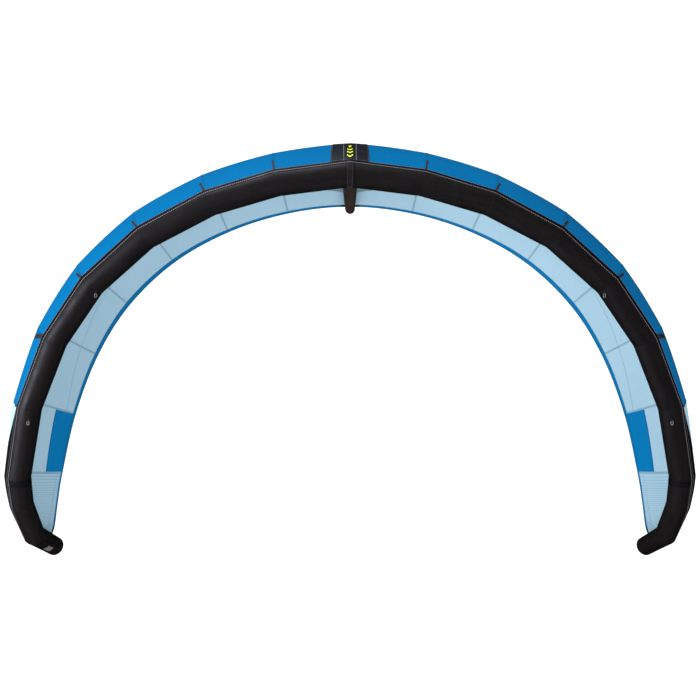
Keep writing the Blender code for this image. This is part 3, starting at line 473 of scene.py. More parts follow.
def finish_mesh(name, points, faces, corner_uv, material):
    """Object from points, faces and one UV pair for each corner, its faces looking outward."""
    mesh = bpy.data.meshes.new(name)
    mesh.from_pydata([tuple(map(float, point)) for point in points], [], faces)
    layer = mesh.uv_layers.new(name="cloth_metres")
    layer.data.foreach_set("uv", np.array(corner_uv, np.float32).ravel())
    work = bmesh.new()
    work.from_mesh(mesh)
    bmesh.ops.recalc_face_normals(work, faces=work.faces)
    work.to_mesh(mesh)
    work.free()
    mesh.shade_smooth()
    mesh.set_sharp_from_angle(angle=math.radians(SHARP_EDGE_DEG))
    mesh.materials.append(material)
    item = bpy.data.objects.new(name, mesh)
    bpy.context.scene.collection.objects.link(item)
    return item


def grid_solid(name, lower, upper, uv, material, wrap=False):
    """Closed solid between two grids of points. A wrapped grid's last column is its first."""
    rows, columns = len(lower), len(lower[0])
    width = columns - 1 if wrap else columns
    points = [grid[i][j] for grid in (lower, upper) for i in range(rows) for j in range(width)]
    lift = rows * width
    faces, corners = [], []

    def add(cells, layers):
        faces.append([i * width + j % width + layer * lift for (i, j), layer in zip(cells, layers)])
        corners.extend(uv[i][j] for i, j in cells)

    for i in range(rows - 1):
        for j in range(columns - 1):
            cells = [(i, j), (i, j + 1), (i + 1, j + 1), (i + 1, j)]
            add(cells, (0, 0, 0, 0))
            add(cells, (1, 1, 1, 1))
    for i in (0, rows - 1):
        for j in range(columns - 1):
            add([(i, j), (i, j + 1), (i, j + 1), (i, j)], (0, 0, 1, 1))
    if not wrap:
        for j in (0, columns - 1):
            for i in range(rows - 1):
                add([(i, j), (i + 1, j), (i + 1, j), (i, j)], (0, 0, 1, 1))
    return finish_mesh(name, points, faces, corners, material)


def cloth_patch(name, cells, lift, thickness, material):
    """Cloth on the canopy over a grid of (place, distance) pairs; a negative lift goes below it."""
    lower, upper, uv = [], [], []
    for row in cells:
        pairs = [(cloth_point(*cell), cloth_normal(*cell)) for cell in row]
        lower.append([point + lift * normal for point, normal in pairs])
        upper.append([point + (lift + thickness) * normal for point, normal in pairs])
        uv.append([(span_at(place), distance) for place, distance in row])
    return grid_solid(name, lower, upper, uv, material)


def tube_patch(name, cells, lift, thickness, material, wrap=False):
    """Cloth on the leading-edge tube over a grid of (place, angle) pairs."""
    lower = [[tube_skin(place, angle, lift) for place, angle in row] for row in cells]
    upper = [[tube_skin(place, angle, lift + thickness) for place, angle in row] for row in cells]
    uv = [[(span_at(place), angle * RADIUS) for place, angle in row] for row in cells]
    return grid_solid(name, lower, upper, uv, material, wrap)


def steps(start, end, count):
    """Even values from start to end."""
    return [start + (end - start) * i / count for i in range(count + 1)]


def distance_run(points):
    """Distance along a line at each of its points."""
    return np.concatenate(([0.0], np.cumsum(np.linalg.norm(np.diff(points, axis=0), axis=1))))


def on_line(distance, run, points):
    """Point at a distance along a line."""
    return np.array([np.interp(distance, run, points[:, axis]) for axis in range(3)])


# A stitch: its width and height, and its share of the pitch. Corners count round its start and end.
STITCH_WIDTH = 0.0010
STITCH_HEIGHT = 0.0004
STITCH_SHARE = 0.6
STITCH_FACES = ((0, 1, 5, 4), (1, 2, 6, 5), (2, 3, 7, 6), (3, 0, 4, 7), (0, 3, 2, 1), (4, 5, 6, 7))
SQUARE_UV = [(0, 0), (1, 0), (1, 1), (0, 1)]


def thread(name, runs, material, width=STITCH_WIDTH, height=STITCH_HEIGHT):
    """Stitches in one object: a low box for each (start, end, out) run of thread."""
    points, faces, corners = [], [], []
    for start, end, out in runs:
        side = unit(np.cross(end - start, out)) * width / 2
        first = len(points)
        for place in (start, end):
            top = place + out * height
            points += [place - side, place + side, top + side * 0.5, top - side * 0.5]
        for corner_numbers in STITCH_FACES:
            faces.append([first + corner for corner in corner_numbers])
            corners += SQUARE_UV
    return finish_mesh(name, points, faces, corners, material)


def dashes(line, pitch, share=STITCH_SHARE):
    """Stitch runs along a line of (point, out) pairs, each a share of the pitch long."""
    points = np.array([point for point, _ in line])
    outs = np.array([out for _, out in line])
    run = distance_run(points)
    found = []
    for k in range(int(run[-1] / pitch)):
        start, end = (on_line(distance, run, points)
                      for distance in (k * pitch, (k + share) * pitch))
        found.append((start, end, unit(on_line(k * pitch, run, outs))))
    return found


def cloth_line(pairs, lift):
    """Line of (point, out) pairs on the canopy; a negative lift gives the underside."""
    line = []
    for place, distance in pairs:
        normal = cloth_normal(place, distance)
        line.append((cloth_point(place, distance) + lift * normal, normal if lift > 0 else -normal))
    return line


def tube_line(pairs, lift):
    """Line of (point, out) pairs on the leading-edge tube."""
    return [(tube_skin(place, angle, lift), tube_out(place, angle)) for place, angle in pairs]


def on_kite(item, replaced=()):
    """Makes a piece ride on the kite, and hides the imported parts it stands for."""
    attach(item, "kite")
    if replaced:
        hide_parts(*replaced)
    return item


# Materials

class Shade:
    """One node material, with short ways to add what it needs."""

    def __init__(self, name, roughness, specular=0.5, tint=(1.0, 1.0, 1.0)):
        self.material = bpy.data.materials.new(name)
        self.material.use_nodes = True
        self.tree = self.material.node_tree
        self.shader = self.tree.nodes["Principled BSDF"]
        self.shader.inputs["Roughness"].default_value = roughness
        self.shader.inputs["Specular IOR Level"].default_value = specular
        self.shader.inputs["Specular Tint"].default_value = (*tint, 1.0)
        self.coordinates = self.tree.nodes.new("ShaderNodeTexCoord")
        self.heights = []

    def put(self, socket, value):
        """Links or sets one socket."""
        if isinstance(value, bpy.types.NodeSocket):
            self.tree.links.new(value, socket)
        else:
            socket.default_value = value

    def maths(self, operation, first, second=0.0, third=None):
        """Result of one sum."""
        made = self.tree.nodes.new("ShaderNodeMath")
        made.operation = operation
        self.put(made.inputs[0], first)
        self.put(made.inputs[1], second)
        if third is not None:
            self.put(made.inputs[2], third)
        return made.outputs[0]

    def place(self):
        """Position on the object, in metres."""
        return self.coordinates.outputs["Object"]

    def cloth(self):
        """Position on the cloth, along the span and along the chord, in metres."""
        split = self.tree.nodes.new("ShaderNodeSeparateXYZ")
        self.tree.links.new(self.coordinates.outputs["UV"], split.inputs[0])
        return split.outputs["X"], split.outputs["Y"]

    def noise(self, scale, detail=2.0, roughness=0.5, vector=None):
        """Soft noise from 0 to 1."""
        made = self.tree.nodes.new("ShaderNodeTexNoise")
        self.put(made.inputs["Vector"], vector or self.place())
        made.inputs["Scale"].default_value = scale
        made.inputs["Detail"].default_value = detail
        made.inputs["Roughness"].default_value = roughness
        return made.outputs["Fac"]

    def stretched(self, along, across):
        """Cloth position scaled unevenly, for streaks."""
        u, v = self.cloth()
        made = self.tree.nodes.new("ShaderNodeCombineXYZ")
        self.tree.links.new(self.maths("MULTIPLY", u, along), made.inputs["X"])
        self.tree.links.new(self.maths("MULTIPLY", v, across), made.inputs["Y"])
        return made.outputs[0]

    def ramp(self, factor, low, high, out_low=0.0, out_high=1.0):
        """Factor mapped from one range to another, and clamped."""
        made = self.tree.nodes.new("ShaderNodeMapRange")
        self.put(made.inputs["Value"], factor)
        made.inputs["From Min"].default_value = low
        made.inputs["From Max"].default_value = high
        made.inputs["To Min"].default_value = out_low
        made.inputs["To Max"].default_value = out_high
        return made.outputs[0]

    def line(self, coordinate, pitch, width):
        """1 on lines of this width at this pitch across a coordinate, else 0."""
        phase = self.maths("FRACT", self.maths("DIVIDE", coordinate, pitch))
        return self.maths("LESS_THAN", phase, width / pitch)

    def mix(self, factor, first, second):
        """Colour between two, by a factor."""
        made = self.tree.nodes.new("ShaderNodeMix")
        made.data_type = "RGBA"
        self.put(made.inputs["Factor"], factor)
        for socket, value in ((made.inputs["A"], first), (made.inputs["B"], second)):
            self.put(socket, (*value, 1.0) if isinstance(value, tuple) else value)
        return made.outputs["Result"]

    def colour(self, value):
        """Sets or links the base colour."""
        value = (*value, 1.0) if isinstance(value, tuple) else value
        self.put(self.shader.inputs["Base Color"], value)

    def rough(self, value):
        """Links the roughness."""
        self.put(self.shader.inputs["Roughness"], value)

    def relief(self, height, depth):
        """Adds a height field of this depth, in metres, to the surface."""
        self.heights.append(self.maths("MULTIPLY", height, depth))

    def done(self):
        """Joins the reliefs into one bump, and gives the material."""
        if self.heights:
            total = self.heights[0]
            for height in self.heights[1:]:
                total = self.maths("ADD", total, height)
            bump = self.tree.nodes.new("ShaderNodeBump")
            bump.inputs["Strength"].default_value = 1.0
            bump.inputs["Distance"].default_value = 1.0
            self.put(bump.inputs["Height"], total)
            self.put(self.shader.inputs["Normal"], bump.outputs[0])
        return self.material


# Sailcloth: pitch and width of its raised grid, and of the stripes that fade in towards the wingtip
RIPSTOP_PITCH = 0.006
RIPSTOP_LINE = 0.0006
TIP_STRIPE_PITCH = 0.0165
TIP_STRIPE_WIDTH = 0.0035
TIP_STRIPES_START = span_at(6.90)
TIP_STRIPES_FULL = span_at(7.02)
COOL_SHEEN = (0.80, 0.83, 1.0)


def ripstop(name, base, deep, pale, roughness, stripes=False):
    """Thin coated sailcloth: a raised grid, soft blotches, and small creases."""
    shade = Shade(name, roughness, specular=0.012)
    u, v = shade.cloth()
    blotch = shade.ramp(shade.noise(1.7, 3.0), 0.35, 0.65)
    colour = shade.mix(blotch, base, pale)
    grid = shade.maths("MAXIMUM", shade.line(u, RIPSTOP_PITCH, RIPSTOP_LINE),
                       shade.line(v, RIPSTOP_PITCH, RIPSTOP_LINE))
    colour = shade.mix(shade.maths("MULTIPLY", grid, 0.10), colour, deep)
    if stripes:
        span = shade.maths("ABSOLUTE", u)
        beyond = shade.ramp(span, TIP_STRIPES_START, TIP_STRIPES_FULL, 0.0, 0.55)
        stripe = shade.line(u, TIP_STRIPE_PITCH, TIP_STRIPE_WIDTH)
        colour = shade.mix(shade.maths("MULTIPLY", stripe, beyond), colour, deep)
    shade.colour(colour)
    shade.rough(shade.ramp(shade.noise(9.0, 2.0), 0.3, 0.7, roughness - 0.06, roughness + 0.06))
    shade.relief(grid, 0.00005)
    shade.relief(shade.noise(55.0, 3.0, vector=shade.stretched(1.0, 0.35)), 0.0006)
    shade.relief(shade.noise(6.0, 2.0), 0.004)
    return shade.done()


def heavy_cloth(name, base, deep, roughness=0.6, wear=None, weave=0.0012, specular=0.16):
    """Dense woven cloth: a plain weave, streaks along the tube, and rubbed high places."""
    shade = Shade(name, roughness, specular, COOL_SHEEN)
    u, v = shade.cloth()
    streak = shade.ramp(shade.noise(3.0, 3.0, vector=shade.stretched(1.0, 6.0)), 0.35, 0.7)
    colour = shade.mix(streak, base, deep)
    if wear:
        rubbed = shade.ramp(shade.noise(21.0, 4.0, 0.6), 0.58, 0.78, 0.0, 0.5)
        colour = shade.mix(rubbed, colour, wear)
    warp = shade.maths("SINE", shade.maths("MULTIPLY", u, 2 * math.pi / weave))
    weft = shade.maths("SINE", shade.maths("MULTIPLY", v, 2 * math.pi / weave))
    cross = shade.maths("MULTIPLY", warp, weft)
    colour = shade.mix(shade.ramp(cross, -1.0, 1.0, 0.0, 0.18), colour, deep)
    shade.colour(colour)
    shade.rough(shade.ramp(shade.noise(14.0, 2.0), 0.3, 0.7, roughness - 0.07, roughness + 0.07))
    shade.relief(cross, weave * 0.012)
    shade.relief(shade.noise(38.0, 3.0, vector=shade.stretched(1.0, 0.3)), 0.0004)
    return shade.done()


def plain_thread(name, base, deep):
    """Twisted thread or cord."""
    shade = Shade(name, 0.7, specular=0.2)
    twist = shade.noise(900.0, 2.0)
    shade.colour(shade.mix(twist, base, deep))
    shade.relief(twist, 0.0002)
    return shade.done()


def moulded(name, base, roughness):
    """Moulded plastic with a fine grain and a few scuffs."""
    shade = Shade(name, roughness, specular=0.5)
    scuff = shade.ramp(shade.noise(130.0, 4.0, 0.65), 0.6, 0.75, 0.0, 0.25)
    lighter = tuple(min(channel * 2.5 + 0.01, 1.0) for channel in base)
    shade.colour(shade.mix(scuff, base, lighter))
    shade.rough(shade.ramp(shade.noise(60.0, 2.0), 0.3, 0.7, roughness - 0.08, roughness + 0.1))
    shade.relief(shade.noise(1500.0, 1.0), 0.00003)
    return shade.done()


# Colours, each with a deeper and for sailcloth a paler one, and roughness
SLEEVE = heavy_cloth("sleeve_weave", (0.0078, 0.0058, 0.0054), (0.0050, 0.0037, 0.0034), 0.50,
                     wear=(0.0130, 0.0110, 0.0115), specular=0.26)
BLACK_TAPE = heavy_cloth("black_seam_tape", (0.0040, 0.0034, 0.0034), (0.0026, 0.0022, 0.0022),
                         0.62)
SEAM_TAPE = heavy_cloth("felled_seam", (0.0076, 0.0058, 0.0054), (0.0050, 0.0038, 0.0035), 0.52,
                        specular=0.24)
BLUE = ripstop("blue_ripstop", (0.000, 0.092, 0.240), (0.000, 0.070, 0.195),
               (0.000, 0.101, 0.256), 0.50)
# The inset is the front's blue cloth made brighter: painted light on the underside
INSET_PAINTED_LIGHT = ripstop("inset_ripstop_painted_light", (0.000, 0.124, 0.312), (0.000, 0.096, 0.256),
                (0.000, 0.136, 0.332), 0.52)
PALE = ripstop("pale_ripstop", (0.256, 0.396, 0.488), (0.192, 0.333, 0.430),
               (0.275, 0.412, 0.504), 0.55)
TIP = ripstop("striped_tip_ripstop", (0.254, 0.395, 0.488), (0.123, 0.246, 0.338),
              (0.273, 0.410, 0.502), 0.55, stripes=True)
BINDING = ripstop("blue_binding", (0.001, 0.104, 0.255), (0.000, 0.079, 0.210),
                  (0.002, 0.112, 0.270), 0.52)
PALE_TAPE = ripstop("pale_seam_tape", (0.156, 0.265, 0.342), (0.125, 0.224, 0.289),
                    (0.172, 0.276, 0.353), 0.58)
FAINT_TAPE = ripstop("faint_seam_tape", (0.210, 0.337, 0.421), (0.156, 0.276, 0.353),
                     (0.224, 0.349, 0.432), 0.56)
# Strut gussets: the pale cloth darkened, painted shade under the leading edge
PAINTED_SHADE_GUSSET = ripstop("strut_painted_shade_gusset_cloth", (0.138, 0.207, 0.258), (0.103, 0.162, 0.207),
                 (0.152, 0.221, 0.267), 0.60)
BLUE_TAPE = ripstop("blue_seam_tape", (0.000, 0.079, 0.210), (0.000, 0.060, 0.168),
                    (0.000, 0.087, 0.224), 0.52)
PATCH = heavy_cloth("patch_weave", (0.0105, 0.0120, 0.0185), (0.0060, 0.0070, 0.0105), 0.55,
                    weave=0.0016)
TAB = heavy_cloth("tab_weave", (0.026, 0.022, 0.025), (0.017, 0.0145, 0.0165), weave=0.0014)
STRUT = heavy_cloth("strut_weave", (0.0370, 0.0235, 0.0190), (0.0240, 0.0150, 0.0122), 0.62,
                    wear=(0.0430, 0.0310, 0.0260), specular=0.10)
WEBBING = heavy_cloth("strap_webbing", (0.0115, 0.0095, 0.0125), (0.0065, 0.0055, 0.0070),
                      weave=0.0022)
LABEL = heavy_cloth("blank_label", (0.130, 0.105, 0.103), (0.095, 0.078, 0.076), weave=0.0010)
CHEVRON = heavy_cloth("chevron_cloth", (0.780, 0.930, 0.010), (0.690, 0.850, 0.008), 0.5,
                      weave=0.0010)
THREAD = plain_thread("grey_thread", (0.205, 0.195, 0.228), (0.142, 0.136, 0.160))
SOFT_THREAD = plain_thread("soft_thread", (0.185, 0.190, 0.225), (0.130, 0.132, 0.158))
DIM_THREAD = plain_thread("dim_thread", (0.120, 0.115, 0.125), (0.075, 0.072, 0.080))
DARK_THREAD = plain_thread("dark_thread", (0.022, 0.021, 0.024), (0.012, 0.012, 0.014))
BLUE_THREAD = plain_thread("blue_thread", (0.006, 0.095, 0.250), (0.002, 0.070, 0.190))
PALE_THREAD = plain_thread("pale_thread", (0.290, 0.430, 0.530), (0.210, 0.340, 0.430))
TIP_THREAD = plain_thread("tip_thread", (0.085, 0.150, 0.205), (0.055, 0.105, 0.150))
EDGE_CORD = plain_thread("seam_edge_cord", (0.030, 0.028, 0.032), (0.019, 0.018, 0.020))
CORD = plain_thread("loop_braid", (0.200, 0.198, 0.208), (0.120, 0.118, 0.125))
PLASTIC = moulded("valve_moulding", (0.012, 0.012, 0.013), 0.38)
FILM = moulded("bladder_film_skin", (0.600, 0.630, 0.660), 0.25)


# Leading edge

TUBE_FINE_SIDES = 72
TUBE_FINE_STEPS = 16
SLEEVE_CLOTH = 0.0006
JOINT_GAP = 0.0003
# Turns of the rings on a rounded end; the last ring leaves a pinhole, so that no face is a sliver
END_TURNS = steps(0.0, math.pi / 2 - 0.004, 10)[1:]


def ring_angles():
    """Angles round the tube; the last one is the first again."""
    first = STATIONS[0].seam
    return steps(first, first + 2 * math.pi, TUBE_FINE_SIDES)


def tube_rings(places, lift):
    """Rings of points on the sleeve at signed places, and their cloth positions."""
    rows = [[tube_skin(place, angle, lift) for angle in ring_angles()] for place in places]
    uv = [[(span_at(place), angle * RADIUS) for angle in ring_angles()] for place in places]
    return rows, uv


def tip_rings(side, sink):
    """Rings of the rounded wingtip end, and their cloth positions."""
    last = STATIONS[-1]
    radius = last.radius + TUBE_SWELL - sink
    rows, uv = [], []
    for turn in END_TURNS:
        past = last.centre + TIP_CAP_DEPTH_SHARE * radius * math.sin(turn) * last.segment
        ring = [past + radius * math.cos(turn) * last.spoke(angle) for angle in ring_angles()]
        rows.append([np.array(across_plane(point, side)) for point in ring])
        uv.append([(side * (RUN[-1] + radius * turn), angle * RADIUS) for angle in ring_angles()])
    return rows, uv


def make_sleeves():
    """Every length of sleeve, the one at the valve with its hole."""
    for side_name, side in SIDES.items():
        for joint in range(SEAM_TO_LAST_SLEEVE + 1):
            last = JOINTS if joint == SEAM_TO_LAST_SLEEVE else joint + 1
            start = side * (joint + JOINT_GAP)
            end = side * (last if last == JOINTS else last - JOINT_GAP)
            places = steps(start, end, TUBE_FINE_STEPS * (last - joint))
            upper, uv = tube_rings(places, 0.0)
            lower, _ = tube_rings(places, -SLEEVE_CLOTH)
            if last == JOINTS:
                cap, cap_uv = tip_rings(side, 0.0)
                upper, uv = upper + cap, uv + cap_uv
                lower += tip_rings(side, SLEEVE_CLOTH)[0]
            number = f"{side_name}_{joint + 1}"
            cloth = grid_solid(f"tube_cloth_{number}", lower, upper, uv, SLEEVE, wrap=True)
            if number == "left_1":
                cut_round_hole(cloth, VALVE_BASE_DIAMETER / 2 + FIT_GAP)
            on_kite(cloth, [f"sleeve_{number}"])


def cut_round_hole(cloth, radius):
    """Cuts the valve's hole into a piece of cloth."""
    builder = bmesh.new()
    bmesh.ops.create_cone(builder, cap_ends=True, segments=48, radius1=radius, radius2=radius,
                          depth=0.12, matrix=valve_frame())
    cut(cloth, builder)


def cut(item, builder):
    """Cuts a solid out of a piece."""
    mesh = bpy.data.meshes.new("cutter")
    bmesh.ops.recalc_face_normals(builder, faces=builder.faces)
    builder.to_mesh(mesh)
    builder.free()
    cutter = bpy.data.objects.new("cutter", mesh)
    bpy.context.scene.collection.objects.link(cutter)
    modifier = item.modifiers.new("cut", "BOOLEAN")
    modifier.operation = "DIFFERENCE"
    modifier.solver = "EXACT"
    modifier.object = cutter
    graph = bpy.context.evaluated_depsgraph_get()
    item.data = bpy.data.meshes.new_from_object(item.evaluated_get(graph), depsgraph=graph)
    item.modifiers.clear()
    bpy.data.objects.remove(cutter, do_unlink=True)


# Felled seams of the sleeve: how far each runs before and behind its joint, and its stitch rows
SEAM_FOLD = (-0.003, 0.009, (-0.001, 0.007))
BROAD_JOINT = 7
BROAD_FOLD = (-0.002, 0.044, (0.001, 0.020, 0.024, 0.041))
# This joint's seam is folded towards the middle, to leave room for the bridle loop beside it
LOOP_JOINT = 4
LOOP_JOINT_FOLD = (-0.010, 0.001, (-0.008, -0.001))
BAND_BOTTOM = 0.0002
BAND_TOP = 0.0010
BAND_STITCH_PITCH = 0.009


def make_tube_bands():
    """Felled seams at the joints with their stitches, and the broad band near the wingtips."""
    runs = []
    folds = {BROAD_JOINT: BROAD_FOLD, LOOP_JOINT: LOOP_JOINT_FOLD}
    for side_name, side in SIDES.items():
        for joint in range(1, JOINTS):
            before, after, rows = folds.get(joint, SEAM_FOLD)
            middle = span_at(joint)
            places = [side * place_at(middle + run) for run in steps(before, after, 4)]
            upper, uv = tube_rings(places, BAND_TOP)
            lower, _ = tube_rings(places, BAND_BOTTOM)
            cloth = BLACK_TAPE if joint == BROAD_JOINT else SEAM_TAPE
            band = grid_solid(f"tube_seam_{side_name}_{joint}", lower, upper, uv, cloth, wrap=True)
            on_kite(band)
            for run in rows:
                place = side * place_at(middle + run)
                line = tube_line([(place, angle) for angle in ring_angles()], BAND_TOP)
                runs += dashes(line, BAND_STITCH_PITCH)
    on_kite(thread("tube_seam_stitches", runs, DARK_THREAD))


def span_places(first, last, per_segment):
    """Even places from one to another, with every joint between them among them."""
    cuts = [first] + [float(j) for j in range(math.floor(first) + 1, math.ceil(last))] + [last]
    places = []
    for start, end in zip(cuts, cuts[1:]):
        places += steps(start, end, max(2, math.ceil((end - start) * per_segment)))[:-1]
    return places + [last]


def seam_angle(place):
    """Angle at which the canopy leaves the tube."""
    return between([station.seam for station in STATIONS], abs(place))


# How far the seam tape reaches over the canopy's cloth at these places
SEAM_TAPE_PLACES = (0.0, 6.0, 6.15, 6.35, 6.6, 9.0, 9.5)
SEAM_TAPE_ON_CLOTH = (0.006, 0.006, 0.018, 0.040, 0.070, 0.070, 0.020)
# How far below the seam the stitches of its tube side run, and the tape beyond them
SEAM_STITCH_PLACES = (0.0, 2.0, 3.5, 5.0, 6.0)
SEAM_STITCHES_BACK = (0.0145, 0.0190, 0.0250, 0.0205, 0.0150)
SEAM_TAPE_BEYOND_STITCHES = 0.0090
EDGE_CORD_LIFT = 0.0004
CLOTH_STITCHES_AHEAD = 0.0042
SEAM_TAPE_BOTTOM = 0.0003
SEAM_TAPE_TOP = 0.0015
# The tape climbs this much over this distance, to pass over the edge of the canopy's cloth
SEAM_TAPE_RISE = 0.0012
SEAM_TAPE_RISE_RUN = 0.006
TAPE_LIFT = 0.0002
CLOTH_TOP = CANOPY_THICKNESS + TAPE_LIFT
SEAM_TAPE_ON_CLOTH_TOP = CANOPY_THICKNESS + 0.0011


def stitches_back(place):
    """How far below the seam the tape's lower row of stitches runs."""
    return float(np.interp(abs(place), SEAM_STITCH_PLACES, SEAM_STITCHES_BACK))


def make_seam_tape():
    """Black tape over the line where the canopy is sewn to the tube, wider near the wingtips."""
    tip = CANOPY_TIP_STATION - 0.02
    places = span_places(-tip, tip, 16)
    lower, upper, uv = [], [], []
    for place in places:
        angle = seam_angle(place)
        reach = float(np.interp(abs(place), SEAM_TAPE_PLACES, SEAM_TAPE_ON_CLOTH))
        low, high, flat = [], [], []
        for back in steps(stitches_back(place) + SEAM_TAPE_BEYOND_STITCHES, 0.001, 4):
            rise = SEAM_TAPE_RISE * max(0.0, 1.0 - back / SEAM_TAPE_RISE_RUN)
            low.append(tube_skin(place, angle - back / RADIUS, SEAM_TAPE_BOTTOM))
            high.append(tube_skin(place, angle - back / RADIUS, SEAM_TAPE_TOP + rise))
            flat.append((span_at(place), -back))
        for ahead in steps(0.002, reach, 6):
            point, normal = cloth_point(place, ahead), cloth_normal(place, max(ahead, 0.01))
            low.append(point + CLOTH_TOP * normal)
            high.append(point + SEAM_TAPE_ON_CLOTH_TOP * normal)
            flat.append((span_at(place), ahead))
        lower.append(low)
        upper.append(high)
        uv.append(flat)
    on_kite(grid_solid("leading_edge_seam_tape", lower, upper, uv, BLACK_TAPE))
    rows = []
    for beyond, lift in ((0.0, SEAM_TAPE_TOP), (SEAM_TAPE_BEYOND_STITCHES, EDGE_CORD_LIFT)):
        rows.append(tube_line([(place, seam_angle(place) - (stitches_back(place) + beyond) / RADIUS)
                               for place in places], lift))
    ahead = [(place, CLOTH_STITCHES_AHEAD) for place in places]
    rows.append(cloth_line(ahead, SEAM_TAPE_ON_CLOTH_TOP))
    light, edge, upper = rows
    on_kite(thread("leading_edge_seam_stitches", dashes(light, 0.0130, 0.62), THREAD,
                   0.0046, 0.0008))
    on_kite(thread("leading_edge_seam_edge_cord", dashes(edge, 0.0105, 0.97), EDGE_CORD,
                   0.0020, 0.0010))
    on_kite(thread("leading_edge_cloth_stitches", dashes(upper, 0.0110), SOFT_THREAD,
                   0.0026, 0.0006))


# Strap over the front of the tube: its bound edges lie on it
STRAP_WIDTH = 0.050
STRAP_EDGE_WIDTH = 0.0050
STRAP_EDGE_LIFT = 0.0019
STRAP_EDGE_CLOTH = 0.0007
# How far the strap's stitches stay inside its sides, along it and across it
STRAP_STITCHES_IN = 0.0075
STRAP_CROSS_STITCHES_IN = 0.006
TUBE_TRIM_LIFT = 0.0003
STRAP_CLOTH = 0.0015
STRAP_TOP = TUBE_TRIM_LIFT + STRAP_CLOTH
STRAP_ANGLES = steps(math.radians(-84), math.radians(44), 40)


def make_strap():
    """Webbing strap over the front of the tube, in the middle."""
    half = STRAP_WIDTH / 2

    def cells(first, last, count):
        places = [place_at(run) for run in steps(first, last, count)]
        return [[(place, angle) for place in places] for angle in STRAP_ANGLES]

    on_kite(tube_patch("centre_strap", cells(-half, half, 8), TUBE_TRIM_LIFT, STRAP_CLOTH, WEBBING))
    runs = []
    for side_name, side in SIDES.items():
        edge = cells(side * (half - STRAP_EDGE_WIDTH), side * half, 2)
        on_kite(tube_patch(f"centre_strap_edge_{side_name}", edge, STRAP_EDGE_LIFT,
                           STRAP_EDGE_CLOTH, BLACK_TAPE))
        place = place_at(side * (half - STRAP_STITCHES_IN))
        runs += dashes(tube_line([(place, angle) for angle in STRAP_ANGLES], STRAP_TOP), 0.008)
    width = steps(-half + STRAP_CROSS_STITCHES_IN, half - STRAP_CROSS_STITCHES_IN, 6)
    for angle in STRAP_ANGLES[1:3] + STRAP_ANGLES[-3:-1]:
        runs += dashes(tube_line([(place_at(run), angle) for run in width], STRAP_TOP), 0.007)
    on_kite(thread("centre_strap_stitches", runs, DIM_THREAD, height=0.0005))


# Canopy

CLOTH_COLUMNS = 20
HALF_GAP = FIT_GAP / 2


def panel(name, places, start_of, end_of, rows, material, nodes):
    """Cloth of the canopy over these places, between two distances behind the seam."""
    cells = [[(place, distance) for distance in steps(start_of(place), end_of(place), rows)]
             for place in places]
    item = cloth_patch(name, cells, 0.0, CANOPY_THICKNESS, material)
    measure_sheet(on_kite(item, nodes), cells)


def measure_sheet(item, cells):
    """Works out the points of the cloth over its cells; nothing is kept."""
    points = np.array([[cloth_point(place, distance) for place, distance in row] for row in cells])


def trim(item):
    """Makes a small piece ride on the kite, and go with the canopy cloth it is sewn to."""
    on_kite(item)


def from_seam(_place):
    """Where the cloth starts on the tube."""
    return 0.0


def short_of_front(place):
    """Rear edge of the front cloth."""
    return FRONT_PANEL_SHARE * cloth_length(place) - HALF_GAP


def behind_front(place):
    """Front edge of the rear cloth."""
    return FRONT_PANEL_SHARE * cloth_length(place) + HALF_GAP


def to_binding(place):
    """Rear edge of the cloth, where the binding starts."""
    return cloth_length(place) - binding_width(place) - FIT_GAP


def from_inset(place):
    """Front edge of the blue cloth near the wingtip."""
    return INSET_START_SHARE * cloth_length(place)


def to_inset(place):
    """Rear edge of the pale cloth in front of the blue one."""
    return from_inset(place) - FIT_GAP


def from_binding(place):
    """Front edge of the binding."""
    return cloth_length(place) - binding_width(place)


def make_canopy():
    """The cloth of the canopy: one front and one rear sheet, and the wingtip sheets."""
    fore, aft = span_at(FRONT_PANEL_LAST_JOINT), span_at(LAST_CHORD_JOINT)
    edge = place_at(fore - HALF_GAP)
    places = span_places(-edge, edge, CLOTH_COLUMNS)
    numbers = [f"{side}_{n}" for side in SIDES for n in range(2, FRONT_PANEL_LAST_JOINT + 1)]
    panel("canopy_front_cloth", places, from_seam, short_of_front, 26, BLUE,
          ["canopy_front_centre"] + [f"canopy_front_{n}" for n in numbers])
    panel("canopy_rear_cloth", places, behind_front, to_binding, 30, PALE,
          ["canopy_rear_centre"] + [f"canopy_rear_{n}" for n in numbers])
    for side_name, side in SIDES.items():
        ends = sorted((side * place_at(fore + HALF_GAP), side * place_at(aft - HALF_GAP)))
        places = span_places(*ends, CLOTH_COLUMNS)
        panel(f"canopy_wing_cloth_{side_name}", places, from_seam, to_inset, 30, PALE,
              [f"canopy_rear_{side_name}_7"])
        # The inset's brighter blue is painted light on the underside
        panel(f"canopy_inset_cloth_{side_name}", places, from_inset, to_binding, 8, INSET_PAINTED_LIGHT,
              [f"inset_panel_{side_name}"])
        ends = sorted((side * place_at(aft + HALF_GAP), side * CANOPY_TIP_STATION))
        places = span_places(*ends, CLOTH_COLUMNS)
        panel(f"canopy_tip_cloth_{side_name}", places, from_seam, to_binding, 26, TIP,
              [f"canopy_rear_{side_name}_8"])


BLACK_BINDING_PLACE = 9.05
BINDING_STITCH_PLACE = 9.5
# Lifts of lines of stitches that lie right on the upper and on the lower side of the cloth
BOTH_FACES = (CANOPY_THICKNESS, -0.00001)


